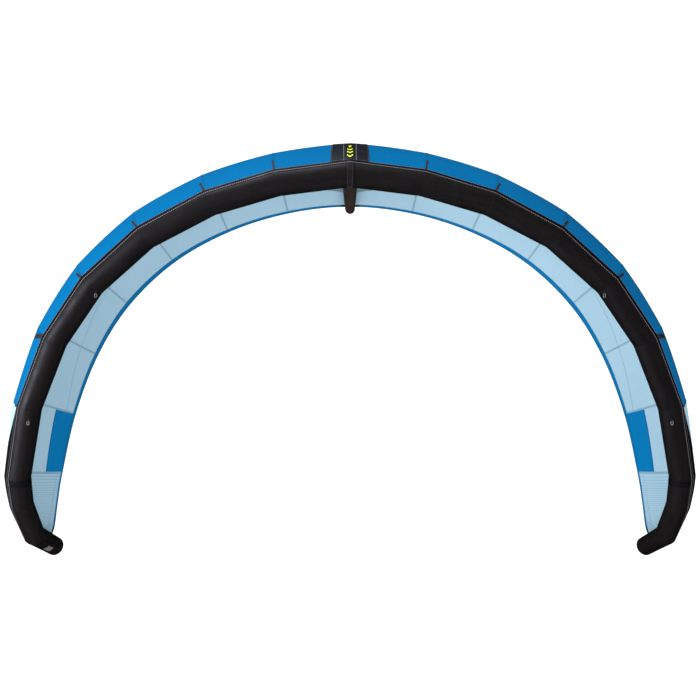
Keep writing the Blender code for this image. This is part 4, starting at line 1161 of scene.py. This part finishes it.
def make_binding():
    """Trailing-edge binding: blue, and black at the wingtips, with its stitches."""
    edges = (-CANOPY_TIP_STATION, -BLACK_BINDING_PLACE, BLACK_BINDING_PLACE, CANOPY_TIP_STATION)
    names = ("binding_cloth_left_tip", "binding_cloth", "binding_cloth_right_tip")
    for name, first, last in zip(names, edges, edges[1:]):
        middle = name == "binding_cloth"
        panel(name, span_places(first, last, CLOTH_COLUMNS), from_binding, cloth_length, 5,
              BINDING if middle else BLACK_TAPE,
              ["trailing_edge_binding"] if middle else ())
    places = span_places(-BINDING_STITCH_PLACE, BINDING_STITCH_PLACE, 10)
    runs = []
    for lift in BOTH_FACES:
        for ahead in (0.004, -0.005):
            line = [(place, from_binding(place) + ahead) for place in places]
            runs += dashes(cloth_line(line, lift), 0.012)
    trim(thread("binding_stitches", runs, BLUE_THREAD, width=0.0012))


# Tapes sewn on the canopy: their cloth, and the lift of those on its lower side
TAPE_CLOTH = 0.0005
UNDER_LIFT = -TAPE_LIFT - TAPE_CLOTH
CHORD_TAPE_WIDTH = 0.014
CHORD_STITCH_SIDE = 0.0045
UNDER_START = 0.060


def chord_strip(place, distances):
    """Cells of a tape that runs back from the leading edge at a place."""
    middle = span_at(place)
    return [[(place_at(middle + across), distance) for distance in distances]
            for across in steps(-CHORD_TAPE_WIDTH / 2, CHORD_TAPE_WIDTH / 2, 3)]


def make_chord_seams():
    """Tapes over the seams that run from the leading edge to the binding, above and below."""
    runs = {"pale": [], "blue": []}
    for side_name, side in SIDES.items():
        for joint in range(1, LAST_CHORD_JOINT + 1):
            place = side * joint
            end = to_binding(place) - 0.001
            whole = joint > FRONT_PANEL_LAST_JOINT
            split = 0.01 if whole else FRONT_PANEL_SHARE * cloth_length(place)
            rows = [("under", UNDER_START, end, UNDER_LIFT, PALE_TAPE, "pale"),
                    ("over", split + 0.012, end, CLOTH_TOP, PALE_TAPE, "pale")]
            if not whole:
                rows.append(("front", 0.012, split + 0.010, CLOTH_TOP, BLUE_TAPE, "blue"))
            for where, first, last, lift, cloth, kind in rows:
                distances = steps(first, last, 24)
                trim(cloth_patch(f"chord_seam_{where}_{side_name}_{joint}",
                                 chord_strip(place, distances), lift, TAPE_CLOTH, cloth))
                face = lift + TAPE_CLOTH if lift > 0 else lift
                for across in (-CHORD_STITCH_SIDE, CHORD_STITCH_SIDE):
                    spot = place_at(span_at(place) + across)
                    runs[kind] += dashes(cloth_line([(spot, d) for d in distances], face), 0.012)
    trim(thread("chord_seam_stitches", runs["pale"], PALE_THREAD))
    trim(thread("blue_chord_seam_stitches", runs["blue"], BLUE_THREAD))


# The faint seam of the rear cloth, as far ahead of the trailing edge at these places
FAINT_SEAM_PLACES = (2.6, 3.0, 4.0, 5.0, 6.0)
FAINT_SEAM_AHEAD = (0.56, 0.50, 0.38, 0.24, 0.12)
# Rows of points across each tape, from its middle, and the gap in places at its ends
SPLIT_TAPE_ROWS = (-0.007, -0.002, 0.002, 0.007)
FAINT_TAPE_ROWS = (-0.005, 0.0, 0.005)
INSET_TAPE_ROWS = (-0.001, 0.004, 0.008)
SPAN_TAPE_GAP = 0.02
THIN_TAPE = 0.0004


def span_strip(name, places, middle_of, offsets, lift, thickness, cloth):
    """Tape along the span: its middle at a distance for each place, its rows beside that."""
    cells = [[(place, middle_of(abs(place)) + across) for across in offsets] for place in places]
    trim(cloth_patch(name, cells, lift, thickness, cloth))


def split_middle(place):
    """Where the front cloth meets the rear cloth."""
    return FRONT_PANEL_SHARE * cloth_length(place)


def faint_middle(place):
    """Where the faint seam of the rear cloth runs."""
    return cloth_length(place) - float(np.interp(place, FAINT_SEAM_PLACES, FAINT_SEAM_AHEAD))


def make_span_seams():
    """Tapes over the seams that run along the span."""
    fore, aft = float(FRONT_PANEL_LAST_JOINT), float(LAST_CHORD_JOINT)
    for where, lift in (("under", UNDER_LIFT), ("over", CLOTH_TOP)):
        span_strip(f"span_seam_{where}", span_places(-fore, fore, 14), split_middle,
                   SPLIT_TAPE_ROWS, lift, TAPE_CLOTH,
                   PALE_TAPE if where == "under" else BLUE_TAPE)
        for side_name, side in SIDES.items():
            places = span_places(FAINT_SEAM_PLACES[0], fore - SPAN_TAPE_GAP, 14)
            span_strip(f"rear_seam_{where}_{side_name}", [side * place for place in places],
                       faint_middle, FAINT_TAPE_ROWS, lift, THIN_TAPE, FAINT_TAPE)
            places = span_places(fore + SPAN_TAPE_GAP, aft - SPAN_TAPE_GAP, 14)
            span_strip(f"inset_seam_{where}_{side_name}", [side * place for place in places],
                       from_inset, INSET_TAPE_ROWS, lift, THIN_TAPE, BLUE_TAPE)


# Wingtip stitches: the row ahead of the binding, and the arcs, longer along the span
TIP_ROW_ENDS = (7.05, 8.95)
TIP_ROW_AHEAD = 0.042
TIP_CORNER_PLACE = 9.40
TIP_CORNER_RADII = (0.055, 0.080, 0.105)
TIP_CORNER_TURNS = steps(0.12, 1.45, 12)
TIP_CORNER_STRETCH = 1.6


def make_tip_stitches():
    """Lines of stitches on the wingtip cloth: along its rear edge, and round its rear corner."""
    runs = []
    for side in SIDES.values():
        lines = [[(side * place, to_binding(place) - TIP_ROW_AHEAD)
                  for place in steps(*TIP_ROW_ENDS, 24)]]
        for radius in TIP_CORNER_RADII:
            arc = []
            for turn in TIP_CORNER_TURNS:
                back = TIP_CORNER_STRETCH * radius * math.cos(turn)
                place = place_at(span_at(TIP_CORNER_PLACE) - back)
                arc.append((side * place, to_binding(place) - radius * math.sin(turn)))
            lines.append(arc)
        for line in lines:
            for lift in BOTH_FACES:
                runs += dashes(cloth_line(line, lift), 0.008, 0.7)
    trim(thread("tip_stitches", runs, TIP_THREAD, width=0.0024))


# Corner tabs by joint, none at the middle: length, width and lean towards the wingtip
TAB_LENGTHS = (0.0, 0.122, 0.112, 0.102, 0.086, 0.125, 0.030)
TAB_WIDTHS = (0.0, 0.012, 0.013, 0.014, 0.016, 0.032, 0.016)
TAB_LEANS = (0.0, 0.03, 0.15, 0.17, 0.23, 0.38, 0.30)
TAB_LIFT = CANOPY_THICKNESS + 0.0009
TAB_THICKNESS = 0.0008
TAB_START = 0.0035
# Share of its width by which a tab's corners are rounded, and at which its stitches run
TAB_ROUNDING = 0.35
TAB_STITCH_SHARE = 0.36


def make_tabs():
    """Dark reinforcing tabs on the front cloth behind each joint."""
    runs = []
    for side_name, side in SIDES.items():
        for joint in range(1, len(TAB_LENGTHS)):
            length, width, lean = TAB_LENGTHS[joint], TAB_WIDTHS[joint], side * TAB_LEANS[joint]
            middle = span_at(side * joint)
            cells = []
            for share in steps(-1.0, 1.0, 6):
                tip = length - TAB_ROUNDING * width * abs(share) ** 3
                cells.append([(place_at(middle + share * width / 2 + lean * distance), distance)
                              for distance in steps(TAB_START, tip, 14)])
            tab = cloth_patch(f"joint_tab_{side_name}_{joint}", cells, TAB_LIFT, TAB_THICKNESS, TAB)
            trim(tab)
            for across in (-TAB_STITCH_SHARE, TAB_STITCH_SHARE):
                line = [(place_at(middle + across * width + lean * d), d)
                        for d in steps(0.006, length - 0.010, 8)]
                runs += dashes(cloth_line(line, TAB_LIFT + TAB_THICKNESS), 0.006)
    trim(thread("joint_tab_stitches", runs, DIM_THREAD, width=0.0009))


# Centre patch: where it starts, how far in its edge stitches run, and where the others run
PATCH_START = 0.0025
PATCH_STITCHES_IN = 0.005
PATCH_FRONT_STITCHES = 0.010
PATCH_FRONT_STITCH_HALF = 0.105
PATCH_LINE_SIDE = 0.036
# Chevrons: the tip, the arms' lower end, the inner corner, the arms' upper end, half the width
CHEVRONS = ((0.029, 0.056, 0.041, 0.070, 0.0166), (0.081, 0.102, 0.093, 0.114, 0.0162),
            (0.124, 0.147, 0.137, 0.161, 0.0146), (0.180, 0.205, 0.208, 0.236, 0.0066))


def make_centre_patch():
    """Black patch over the middle of the front cloth, with its stitches and chevrons."""
    lift = CANOPY_THICKNESS + PATCH_LIFT
    corner = PATCH_LENGTH - PATCH_CORNER_RADIUS
    distances = steps(PATCH_START, corner, 18)
    distances += [corner + PATCH_CORNER_RADIUS * math.sin(turn) for turn in steps(0.0, 1.52, 8)[1:]]
    cells = []
    for distance in distances:
        half = patch_half_width(distance)
        cells.append([(place_at(half * share), distance) for share in steps(-1.0, 1.0, 14)])
    item = cloth_patch("centre_patch_cloth", cells, lift, PATCH_THICKNESS, PATCH)
    measure_sheet(on_kite(item, ["centre_patch"]), cells)
    top = lift + PATCH_THICKNESS
    inner = [(patch_half_width(d) - PATCH_STITCHES_IN, d) for d in distances[:-1]]
    edge = [(place_at(-half), d) for half, d in inner]
    edge += [(place_at(half), d) for half, d in inner[::-1]]
    runs = dashes(cloth_line(edge, top), 0.008)
    front = [(place_at(run), PATCH_FRONT_STITCHES)
             for run in steps(-PATCH_FRONT_STITCH_HALF, PATCH_FRONT_STITCH_HALF, 12)]
    runs += dashes(cloth_line(front, top), 0.009)
    trim(thread("patch_edge_stitches", runs, DIM_THREAD, 0.0022, 0.0005))
    runs = []
    for across in (-PATCH_LINE_SIDE, PATCH_LINE_SIDE):
        line = [(place_at(across), d) for d in steps(0.004, PATCH_LENGTH - 0.010, 24)]
        runs += dashes(cloth_line(line, top), 0.009)
    trim(thread("patch_line_stitches", runs, SOFT_THREAD, 0.0034, 0.0005))
    for number, (tip, arm_low, inside, arm_high, half) in enumerate(CHEVRONS, 1):
        cells = []
        for share in steps(-1.0, 1.0, 12):
            low = tip + (arm_low - tip) * abs(share)
            high = inside + (arm_high - inside) * abs(share)
            cells.append([(place_at(half * share), distance) for distance in steps(low, high, 4)])
        trim(cloth_patch(f"chevron_{number}", cells, top + TAPE_LIFT, THIN_TAPE, CHEVRON))


# Strips beside the strut, under the canopy
STRIP_MIDDLE = 0.017
STRIP_HALF_WIDTH = 0.007
STRIP_LIFT = -0.0008
STRIP_START = 0.16
# Gussets at the strut's front, darker cloth in painted shade: start and reach out from the middle,
# and their edges at both ends
GUSSET_START = 0.030
GUSSET_REACH = 0.180
GUSSET_FRONT = (1.30, 1.42)
GUSSET_REAR = (1.515, 1.43)


def make_strut_trims():
    """Strips that hold the strut to the canopy, gussets in painted shade beside it, and its bits at
    the rear.
    """
    runs = []
    end = to_binding(0.0) - 0.004
    for side_name, side in SIDES.items():
        cells = [[(place_at(side * (STRIP_MIDDLE + across)), distance)
                  for distance in steps(STRIP_START, end, 40)]
                 for across in (-STRIP_HALF_WIDTH, 0.0, STRIP_HALF_WIDTH)]
        trim(cloth_patch(f"strut_strip_{side_name}", cells, STRIP_LIFT, TAPE_CLOTH, BLACK_TAPE))
        place = place_at(side * (STRIP_MIDDLE + 0.003))
        line = [(place, d) for d in steps(STRIP_START + 0.01, end - 0.01, 40)]
        runs += dashes(cloth_line(line, STRIP_LIFT), 0.010)
        cells = [[(place_at(side * (0.036 + across)), cloth_length(0.0) - ahead)
                  for ahead in (0.026, 0.018, 0.010, 0.002)] for across in steps(0.0, 0.030, 4)]
        trim(cloth_patch(f"rear_bit_{side_name}", cells, -0.0016, 0.0013, BLACK_TAPE))
        # Gussets of darker cloth, painted shade under the leading edge
        cells = []
        for share in steps(0.0, 1.0, 12):
            place = place_at(side * (GUSSET_START + GUSSET_REACH * share))
            first, last = (near + (far - near) * share for near, far in (GUSSET_FRONT, GUSSET_REAR))
            cells.append([(place, distance) for distance in steps(first, last, 6)])
        trim(cloth_patch(f"strut_painted_shade_gusset_{side_name}", cells, STRIP_LIFT, TAPE_CLOTH, PAINTED_SHADE_GUSSET))
    trim(thread("strut_strip_stitches", runs, DARK_THREAD))


# Centre strut

STRUT_FINE_SIDES = 56
STRUT_FINE_ROWS = 44
# Its seam: sides below its middle, and rings without it at the front and at the rear
STRUT_SEAM_SIDE = STRUT_FINE_SIDES // 4 + 6
STRUT_SEAM_FIRST = 7
STRUT_SEAM_LAST = -9
# Places of the leading edge's solid that the strut's front is cut by
CORE_PLACES = (-1.2, -0.6, 0.0, 0.6, 1.2)
X_AXIS = np.array((1.0, 0.0, 0.0))


def fine_strut():
    """Centres, radii and directions of the strut in fine steps."""
    reach = cloth_length(0.0)
    first = short_of_front(0.0) * (STRUT_FIRST_ROW / FRONT_ROWS) ** SEAM_ROW_GROWTH
    rows = steps(first, to_binding(0.0), STRUT_FINE_ROWS)
    start = np.array((0.0, STRUT_START_BACK, STRUT_START_UP))
    tops = [cloth_point(0.0, row) for row in rows]
    shares = np.interp([row / reach for row in rows], STRUT_RUN_SHARES, STRUT_DIAMETER_SHARES)
    radii = [STRUT_DIAMETER / 2 * float(share) for share in shares]
    centres = [np.array(top) for top in tops]
    for _ in range(STRUT_SETTLING_ROUNDS):
        line = [start] + centres
        centres = []
        for i, (top, radius) in enumerate(zip(tops, radii), 1):
            along = line[min(i + 1, len(line) - 1)] - line[i - 1]
            up = np.cross(X_AXIS, along / np.linalg.norm(along))
            centres.append(top - (radius + FIT_GAP) * up)
    front = [start + (centres[0] - start) * share for share in steps(0.0, 1.0, 6)[:-1]]
    return front + centres, [radii[0]] * len(front) + radii


def strut_skin(lift):
    """Rings of points round the strut, lifted off its surface, with its rounded tail."""
    centres, radii = fine_strut()
    rings, uv = [], []
    run = 0.0
    for i, (centre, radius) in enumerate(zip(centres, radii)):
        along = centres[min(i + 1, len(centres) - 1)] - centres[max(i - 1, 0)]
        along = along / np.linalg.norm(along)
        up = np.cross(X_AXIS, along)
        run += 0.0 if i == 0 else float(np.linalg.norm(centre - centres[i - 1]))
        rings.append(strut_round(centre, up, radius + lift))
        uv.append([(run, turn * STRUT_DIAMETER / 2) for turn in strut_turns()])
    last, radius = centres[-1], radii[-1] + lift
    for turn in END_TURNS:
        centre = last + radius * math.sin(turn) * along
        rings.append(strut_round(centre, up, radius * math.cos(turn)))
        uv.append([(run + radius * turn, side * STRUT_DIAMETER / 2) for side in strut_turns()])
    return rings, uv


def strut_turns():
    """Angles round the strut; the last one is the first again."""
    return steps(0.0, 2 * math.pi, STRUT_FINE_SIDES)


def strut_round(centre, up, radius):
    """Ring of points round a centre, the first one on top."""
    return [centre + radius * (math.cos(turn) * up + math.sin(turn) * X_AXIS)
            for turn in strut_turns()]


def tube_core(lift):
    """Solid round the middle of the leading edge, a little larger than its cloth."""
    builder = bmesh.new()
    rings = []
    for place in CORE_PLACES:
        points = [tube_at(place, angle, lift) for angle in ring_angles()[:-1]]
        rings.append([builder.verts.new(tuple(point)) for point in points])
    for near, far in zip(rings, rings[1:]):
        for i in range(len(near)):
            j = (i + 1) % len(near)
            builder.faces.new((near[i], near[j], far[j], far[i]))
    builder.faces.new(rings[0])
    builder.faces.new(rings[-1])
    return builder


def make_strut():
    """Cloth tube of the strut, saddled on the leading edge, and its seams."""
    outer, uv = strut_skin(0.0)
    inner, _ = strut_skin(-SLEEVE_CLOTH)
    cloth = grid_solid("strut_cloth", inner, outer, uv, STRUT, wrap=True)
    cut(cloth, tube_core(TUBE_SWELL + FIT_GAP))
    on_kite(cloth, ["strut_sleeve"])
    rows = list(zip(outer[STRUT_SEAM_FIRST:STRUT_SEAM_LAST], fine_strut()[0][STRUT_SEAM_FIRST:]))
    runs = []
    for index in (STRUT_FINE_SIDES - STRUT_SEAM_SIDE, STRUT_SEAM_SIDE):
        seam = []
        for row, centre in rows:
            out = row[index] - centre
            seam.append((row[index], out / np.linalg.norm(out)))
        runs += dashes(seam, 0.010)
    on_kite(thread("strut_seam_stitches", runs, DARK_THREAD, 0.0012, 0.0005))


# Bladders

# How far the film lies inside the middle of the leading edge's cloth
FILM_SINK = 0.0014


def make_films():
    """The film tube inside the sleeve."""
    places = steps(-JOINTS, JOINTS, 20 * JOINTS)
    depths = (FILM_SINK + BLADDER_WALL, FILM_SINK)
    rows = [tube_rings(places, -depth)[0] for depth in depths]
    uv = tube_rings(places, 0.0)[1]
    caps = [tip_rings(side, depth) for depth in depths for side in (1.0, -1.0)]
    inner = caps[1][0][::-1] + rows[0] + caps[0][0]
    outer = caps[3][0][::-1] + rows[1] + caps[2][0]
    uv = caps[1][1][::-1] + uv + caps[0][1]
    film = grid_solid("leading_edge_film", inner, outer, uv, FILM, wrap=True)
    cut_round_hole(film, VALVE_BASE_DIAMETER / 2 + FIT_GAP)
    on_kite(film, ["leading_edge_bladder"])


def make_strut_film():
    """The film tube inside the strut, with its open neck into the leading edge."""
    centres, _ = fine_strut()
    start = centres[0]
    direction = (centres[5] - start) / np.linalg.norm(centres[5] - start)
    up = np.cross(X_AXIS, direction)
    back = float(-np.dot(start, direction))
    tube = STATIONS[0].radius
    out = back + math.sqrt(tube ** 2 - (float(np.dot(start, start)) - back ** 2))
    seat = tube - math.sqrt(tube ** 2 - (STRUT_DIAMETER / 2) ** 2)
    shoulder = out + seat
    full = shoulder + STRUT_BLADDER_SHOULDER
    behind = next(i for i, centre in enumerate(centres)
                  if np.dot(centre - start, direction) > full + 0.004)
    layers = []
    for skin, wall in ((0.0, 0.0), (BLADDER_WALL, NECK_WALL)):
        sink = STRUT_WALL + BLADDER_CLEARANCE + skin
        neck, body = NECK_DIAMETER / 2 - wall, STRUT_DIAMETER / 2 - sink
        middle = neck + SHOULDER_MIDDLE_SHARE * (body - neck)
        spots = [(out - NECK_REACH / 2, neck), (shoulder + skin, neck),
                 ((shoulder + full) / 2, middle), (full, body)]
        rings = [strut_round(start + run * direction, up, radius) for run, radius in spots]
        rings += strut_skin(-sink)[0][behind:]
        layers.append(rings)
    run = np.cumsum([0.0] + [np.linalg.norm(far[0] - near[0])
                             for near, far in zip(layers[0], layers[0][1:])])
    uv = [[(float(along), turn * STRUT_DIAMETER / 2) for turn in strut_turns()] for along in run]
    on_kite(grid_solid("strut_film", layers[1], layers[0], uv, FILM, wrap=True),
            ["strut_bladder"])


# Loops

LOOP_SIDES = 14
LOOP_CORNER_STEPS = 7


def loop_line():
    """Middle line of a loop with smooth corners, and its outward directions."""
    across = (LOOP_WIDTH - LOOP_CORD) / 2
    down = LOOP_LENGTH - LOOP_CORD
    radius = LOOP_CORNER_RADIUS
    corners = [(across - radius, -radius, 90), (across - radius, radius - down, 0),
               (radius - across, radius - down, -90), (radius - across, -radius, -180)]
    line = []
    for x, z, first in corners:
        for i in range(LOOP_CORNER_STEPS + 1):
            angle = math.radians(first - 90 * i / LOOP_CORNER_STEPS)
            spoke = np.array((math.cos(angle), 0.0, math.sin(angle)))
            line.append((np.array((x, 0.0, z)) + radius * spoke, spoke))
    return line


def make_loop(node, place, angle_deg, side):
    """Braided cord ring on its own joint, and the tab that holds it to the tube."""
    place_frame = loop_frame(place, angle_deg, side)
    turns = steps(0.0, 2 * math.pi, LOOP_SIDES)
    line = loop_line()
    sideways = np.array((0.0, 1.0, 0.0))
    run, outer, uv = 0.0, [], []
    last = line[-1][0]
    for point, spoke in line + line[:1]:
        run += float(np.linalg.norm(point - last))
        last = point
        ring = [math.cos(turn) * spoke + math.sin(turn) * sideways for turn in turns]
        outer.append([np.array(place_frame @ Vector(point + LOOP_CORD / 2 * out)) for out in ring])
        uv.append([(run, turn * LOOP_CORD / 2) for turn in turns])
    item = ring_tube(f"{node}_cord", outer, uv, CORD)
    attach(item, node)
    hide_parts(node)
    make_loop_tab(f"{node}_tab", place, angle_deg, side, place_frame)


def ring_tube(name, rings, uv, material):
    """Closed ring of tube: its last ring is its first again, and so is the last point of each."""
    count, sides = len(rings) - 1, len(rings[0]) - 1
    points = [point for ring in rings[:-1] for point in ring[:-1]]
    faces, corners = [], []
    for i in range(count):
        for j in range(sides):
            cells = ((i, j), (i, j + 1), (i + 1, j + 1), (i + 1, j))
            faces.append([(a % count) * sides + b % sides for a, b in cells])
            corners += [uv[a][b] for a, b in cells]
    return finish_mesh(name, points, faces, corners, material)


# Tape over a loop's bar: half its width, its reach to each side of the bar, and its thickness
TAB_HALF_WIDTH = 0.0036
TAB_REACH = 0.014
TAB_CLOTH = 0.0007
# Its runs ahead of the bar where it lies on the tube, the last with its height above the facet
TAB_FLAT_RUNS = (TAB_REACH, 0.010, 0.0064)
TAB_FOOT = (0.0042, 0.0012)
TAB_FLAT_HEIGHT = 0.0016
TAB_ARCH_TURNS = steps(0.15, math.pi - 0.15, 10)
# Points to each side of the middle where the tape's upper side has to face off the tube
TAB_ARCH_POINTS = 6


def make_loop_tab(name, place, angle_deg, side, place_frame):
    """Strip of tape that arches over a loop's bar and is sewn down above and below it."""
    surface, normal = tube_facet(place, math.radians(angle_deg))
    surface = np.array(across_plane(surface, side))
    normal = np.array(across_plane(normal, side))
    bar = np.array(place_frame.to_3x3() @ Vector((1.0, 0.0, 0.0)))
    ahead = np.cross(normal, bar)
    rise = float(np.dot(np.array(place_frame.translation) - surface, normal))
    bend = LOOP_CORD / 2 + 0.0004
    foot = [(run, TAB_FLAT_HEIGHT - run * run / (2 * RADIUS)) for run in TAB_FLAT_RUNS] + [TAB_FOOT]
    outline = [(-run, height) for run, height in foot]
    outline += [(-bend * math.cos(turn), rise + bend * math.sin(turn)) for turn in TAB_ARCH_TURNS]
    outline += foot[::-1]
    points = [surface + run * ahead + height * normal for run, height in outline]
    widths = steps(-TAB_HALF_WIDTH, TAB_HALF_WIDTH, 3)
    middle = len(points) // 2 - 1
    lower, upper = [], []
    for i, point in enumerate(points):
        along = points[min(i + 1, len(points) - 1)] - points[max(i - 1, 0)]
        out = unit(np.cross(bar, along))
        if np.dot(out, normal) < 0 and abs(i - middle) >= TAB_ARCH_POINTS:
            out = -out
        lower.append([point + across * bar for across in widths])
        upper.append([point + across * bar + TAB_CLOTH * out for across in widths])
    uv = [[(across, run) for across in widths] for run, _ in outline]
    on_kite(grid_solid(name, lower, upper, uv, TAB))


def make_loops():
    """Bridle loops and rear-line loops."""
    for side_name, side in SIDES.items():
        for where, place in BRIDLE_STATIONS.items():
            make_loop(f"bridle_loop_{side_name}_{where}", place, BRIDLE_ANGLES_DEG[where], side)
        make_loop(f"rear_line_loop_{side_name}", REAR_LINE_STATION, REAR_LINE_ANGLE_DEG, side)


# Valve and label

VALVE_PATCH_INSIDE = VALVE_FLANGE_DIAMETER / 2 - 0.0060
VALVE_PATCH_RADIUS = 0.044
VALVE_PATCH_CLOTH = 0.0008
VALVE_STITCH_RADII = (0.024, 0.040)
LABEL_ENDS = (-9.44, -9.66)
LABEL_EDGES_DEG = (-20, 16)
LABEL_CLOTH = 0.0006


def round_valve(radius):
    """Places and angles of a circle round the valve on the leading edge."""
    middle = span_at(-VALVE_STATION)
    base = math.radians(VALVE_ANGLE_DEG)
    return [(place_at(middle + radius * math.cos(turn)), base + radius * math.sin(turn) / RADIUS)
            for turn in steps(0.0, 2 * math.pi, 48)]


def make_valve_trims():
    """Round patch sewn to the tube under the valve, and the finish of the valve's pieces."""
    for node in ("valve_base", "valve_insert", "valve_cap"):
        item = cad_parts[node]
        item.data.materials.clear()
        item.data.materials.append(PLASTIC)
    cells = [round_valve(radius) for radius in steps(VALVE_PATCH_INSIDE, VALVE_PATCH_RADIUS, 4)]
    patch = tube_patch("valve_patch", cells, TUBE_TRIM_LIFT, VALVE_PATCH_CLOTH, PATCH, wrap=True)
    on_kite(patch)
    runs = []
    for radius in VALVE_STITCH_RADII:
        line = tube_line(round_valve(radius), TUBE_TRIM_LIFT + VALVE_PATCH_CLOTH)
        runs += dashes(line, 0.005)
    on_kite(thread("valve_patch_stitches", runs, THREAD, width=0.0009))


def make_label():
    """Bare cloth label near the left wingtip."""
    angles = [math.radians(angle) for angle in steps(*LABEL_EDGES_DEG, 6)]
    cells = [[(place, angle) for angle in angles] for place in steps(*LABEL_ENDS, 6)]
    on_kite(tube_patch("blank_label", cells, TUBE_TRIM_LIFT, LABEL_CLOTH, LABEL))


make_sleeves()
make_tube_bands()
make_seam_tape()
make_strap()
make_canopy()
make_binding()
make_chord_seams()
make_span_seams()
make_tabs()
make_centre_patch()
make_strut_trims()
make_strut()
make_films()
make_strut_film()
make_tip_stitches()
make_loops()
make_valve_trims()
make_label()


# Floor, light and camera

# Floor: half its size, the height and the depth of its curve, and the wall above that
FLOOR_HEIGHT = -3.3
FLOOR_HALF_WIDTH = 26.0
FLOOR_HALF_DEPTH = 16.0
FLOOR_CURVE = 5.0
WALL_TOP = 14.0
FLOOR_GLOW = 0.26
SURROUND_LIGHT = 1.0
# Lamps: name, location, point that it looks at, size, power and whether it is mirrored
LAMPS = (
    ("key", (-2.6, -1.4, 6.6), (0.0, 0.3, -0.5), 3.4, 580.0, True),
    ("side", (-6.0, -3.4, -2.0), (-1.6, 0.2, -1.4), 2.4, 380.0, True),
    ("front", (3.4, -8.6, -2.0), (0.0, 0.3, -1.0), 5.0, 230.0, False),
)
CAMERA_LOCATION = (0.0, -7.728875, -1.073875)
CAMERA_LENS = 65.7
CAMERA_SENSOR = 36.0


def make_floor():
    """Plain pale floor that curves up into a wall far behind the kite."""
    ground = shade_floor()
    outline = [(-FLOOR_HALF_DEPTH, FLOOR_HEIGHT), (FLOOR_HALF_DEPTH, FLOOR_HEIGHT)]
    outline += [(FLOOR_HALF_DEPTH + FLOOR_CURVE * math.sin(turn),
                 FLOOR_HEIGHT + FLOOR_CURVE - FLOOR_CURVE * math.cos(turn))
                for turn in steps(0.1, math.pi / 2, 12)]
    outline.append((FLOOR_HALF_DEPTH + FLOOR_CURVE, WALL_TOP))
    points = [(x, y, z) for y, z in outline for x in (-FLOOR_HALF_WIDTH, FLOOR_HALF_WIDTH)]
    faces = [(2 * i, 2 * i + 1, 2 * i + 3, 2 * i + 2) for i in range(len(outline) - 1)]
    mesh = bpy.data.meshes.new("floor")
    mesh.from_pydata(points, [], faces)
    mesh.shade_smooth()
    mesh.materials.append(ground)
    floor = bpy.data.objects.new("floor", mesh)
    bpy.context.scene.collection.objects.link(floor)
    floor.visible_glossy = False


def shade_floor():
    """Matt white with hardly any grain."""
    shade = Shade("pale_floor", 0.9, specular=0.1)
    shade.colour(shade.mix(shade.noise(0.7, 2.0), (0.86, 0.86, 0.86), (0.90, 0.90, 0.90)))
    shade.shader.inputs["Emission Color"].default_value = (1.0, 1.0, 1.0, 1.0)
    shade.shader.inputs["Emission Strength"].default_value = FLOOR_GLOW
    return shade.done()


def add_light(name, location, target, size, power, glossy):
    """Square soft light that looks at a point."""
    data = bpy.data.lights.new(name, "AREA")
    data.size = size
    data.energy = power
    item = bpy.data.objects.new(name, data)
    bpy.context.scene.collection.objects.link(item)
    item.location = location
    item.rotation_euler = (Vector(target) - Vector(location)).to_track_quat("-Z", "Y").to_euler()
    item.visible_camera = False
    item.visible_glossy = glossy


def set_up_view():
    """White surroundings, the lamps, and the camera in front of the leading edge."""
    scene = bpy.context.scene
    world = bpy.data.worlds.new("studio")
    world.use_nodes = True
    background = world.node_tree.nodes["Background"]
    background.inputs["Color"].default_value = (1.0, 1.0, 1.0, 1.0)
    background.inputs["Strength"].default_value = SURROUND_LIGHT
    world.cycles_visibility.glossy = False
    scene.world = world
    for lamp in LAMPS:
        add_light(*lamp)
    data = bpy.data.cameras.new("camera")
    data.sensor_width = CAMERA_SENSOR
    data.lens = CAMERA_LENS
    data.dof.use_dof = False
    camera = bpy.data.objects.new("camera", data)
    scene.collection.objects.link(camera)
    camera.location = CAMERA_LOCATION
    camera.rotation_euler = (math.radians(90.0), 0.0, 0.0)
    scene.camera = camera
    scene.view_settings.view_transform = "Standard"


make_floor()
set_up_view()

bpy.context.view_layer.update()
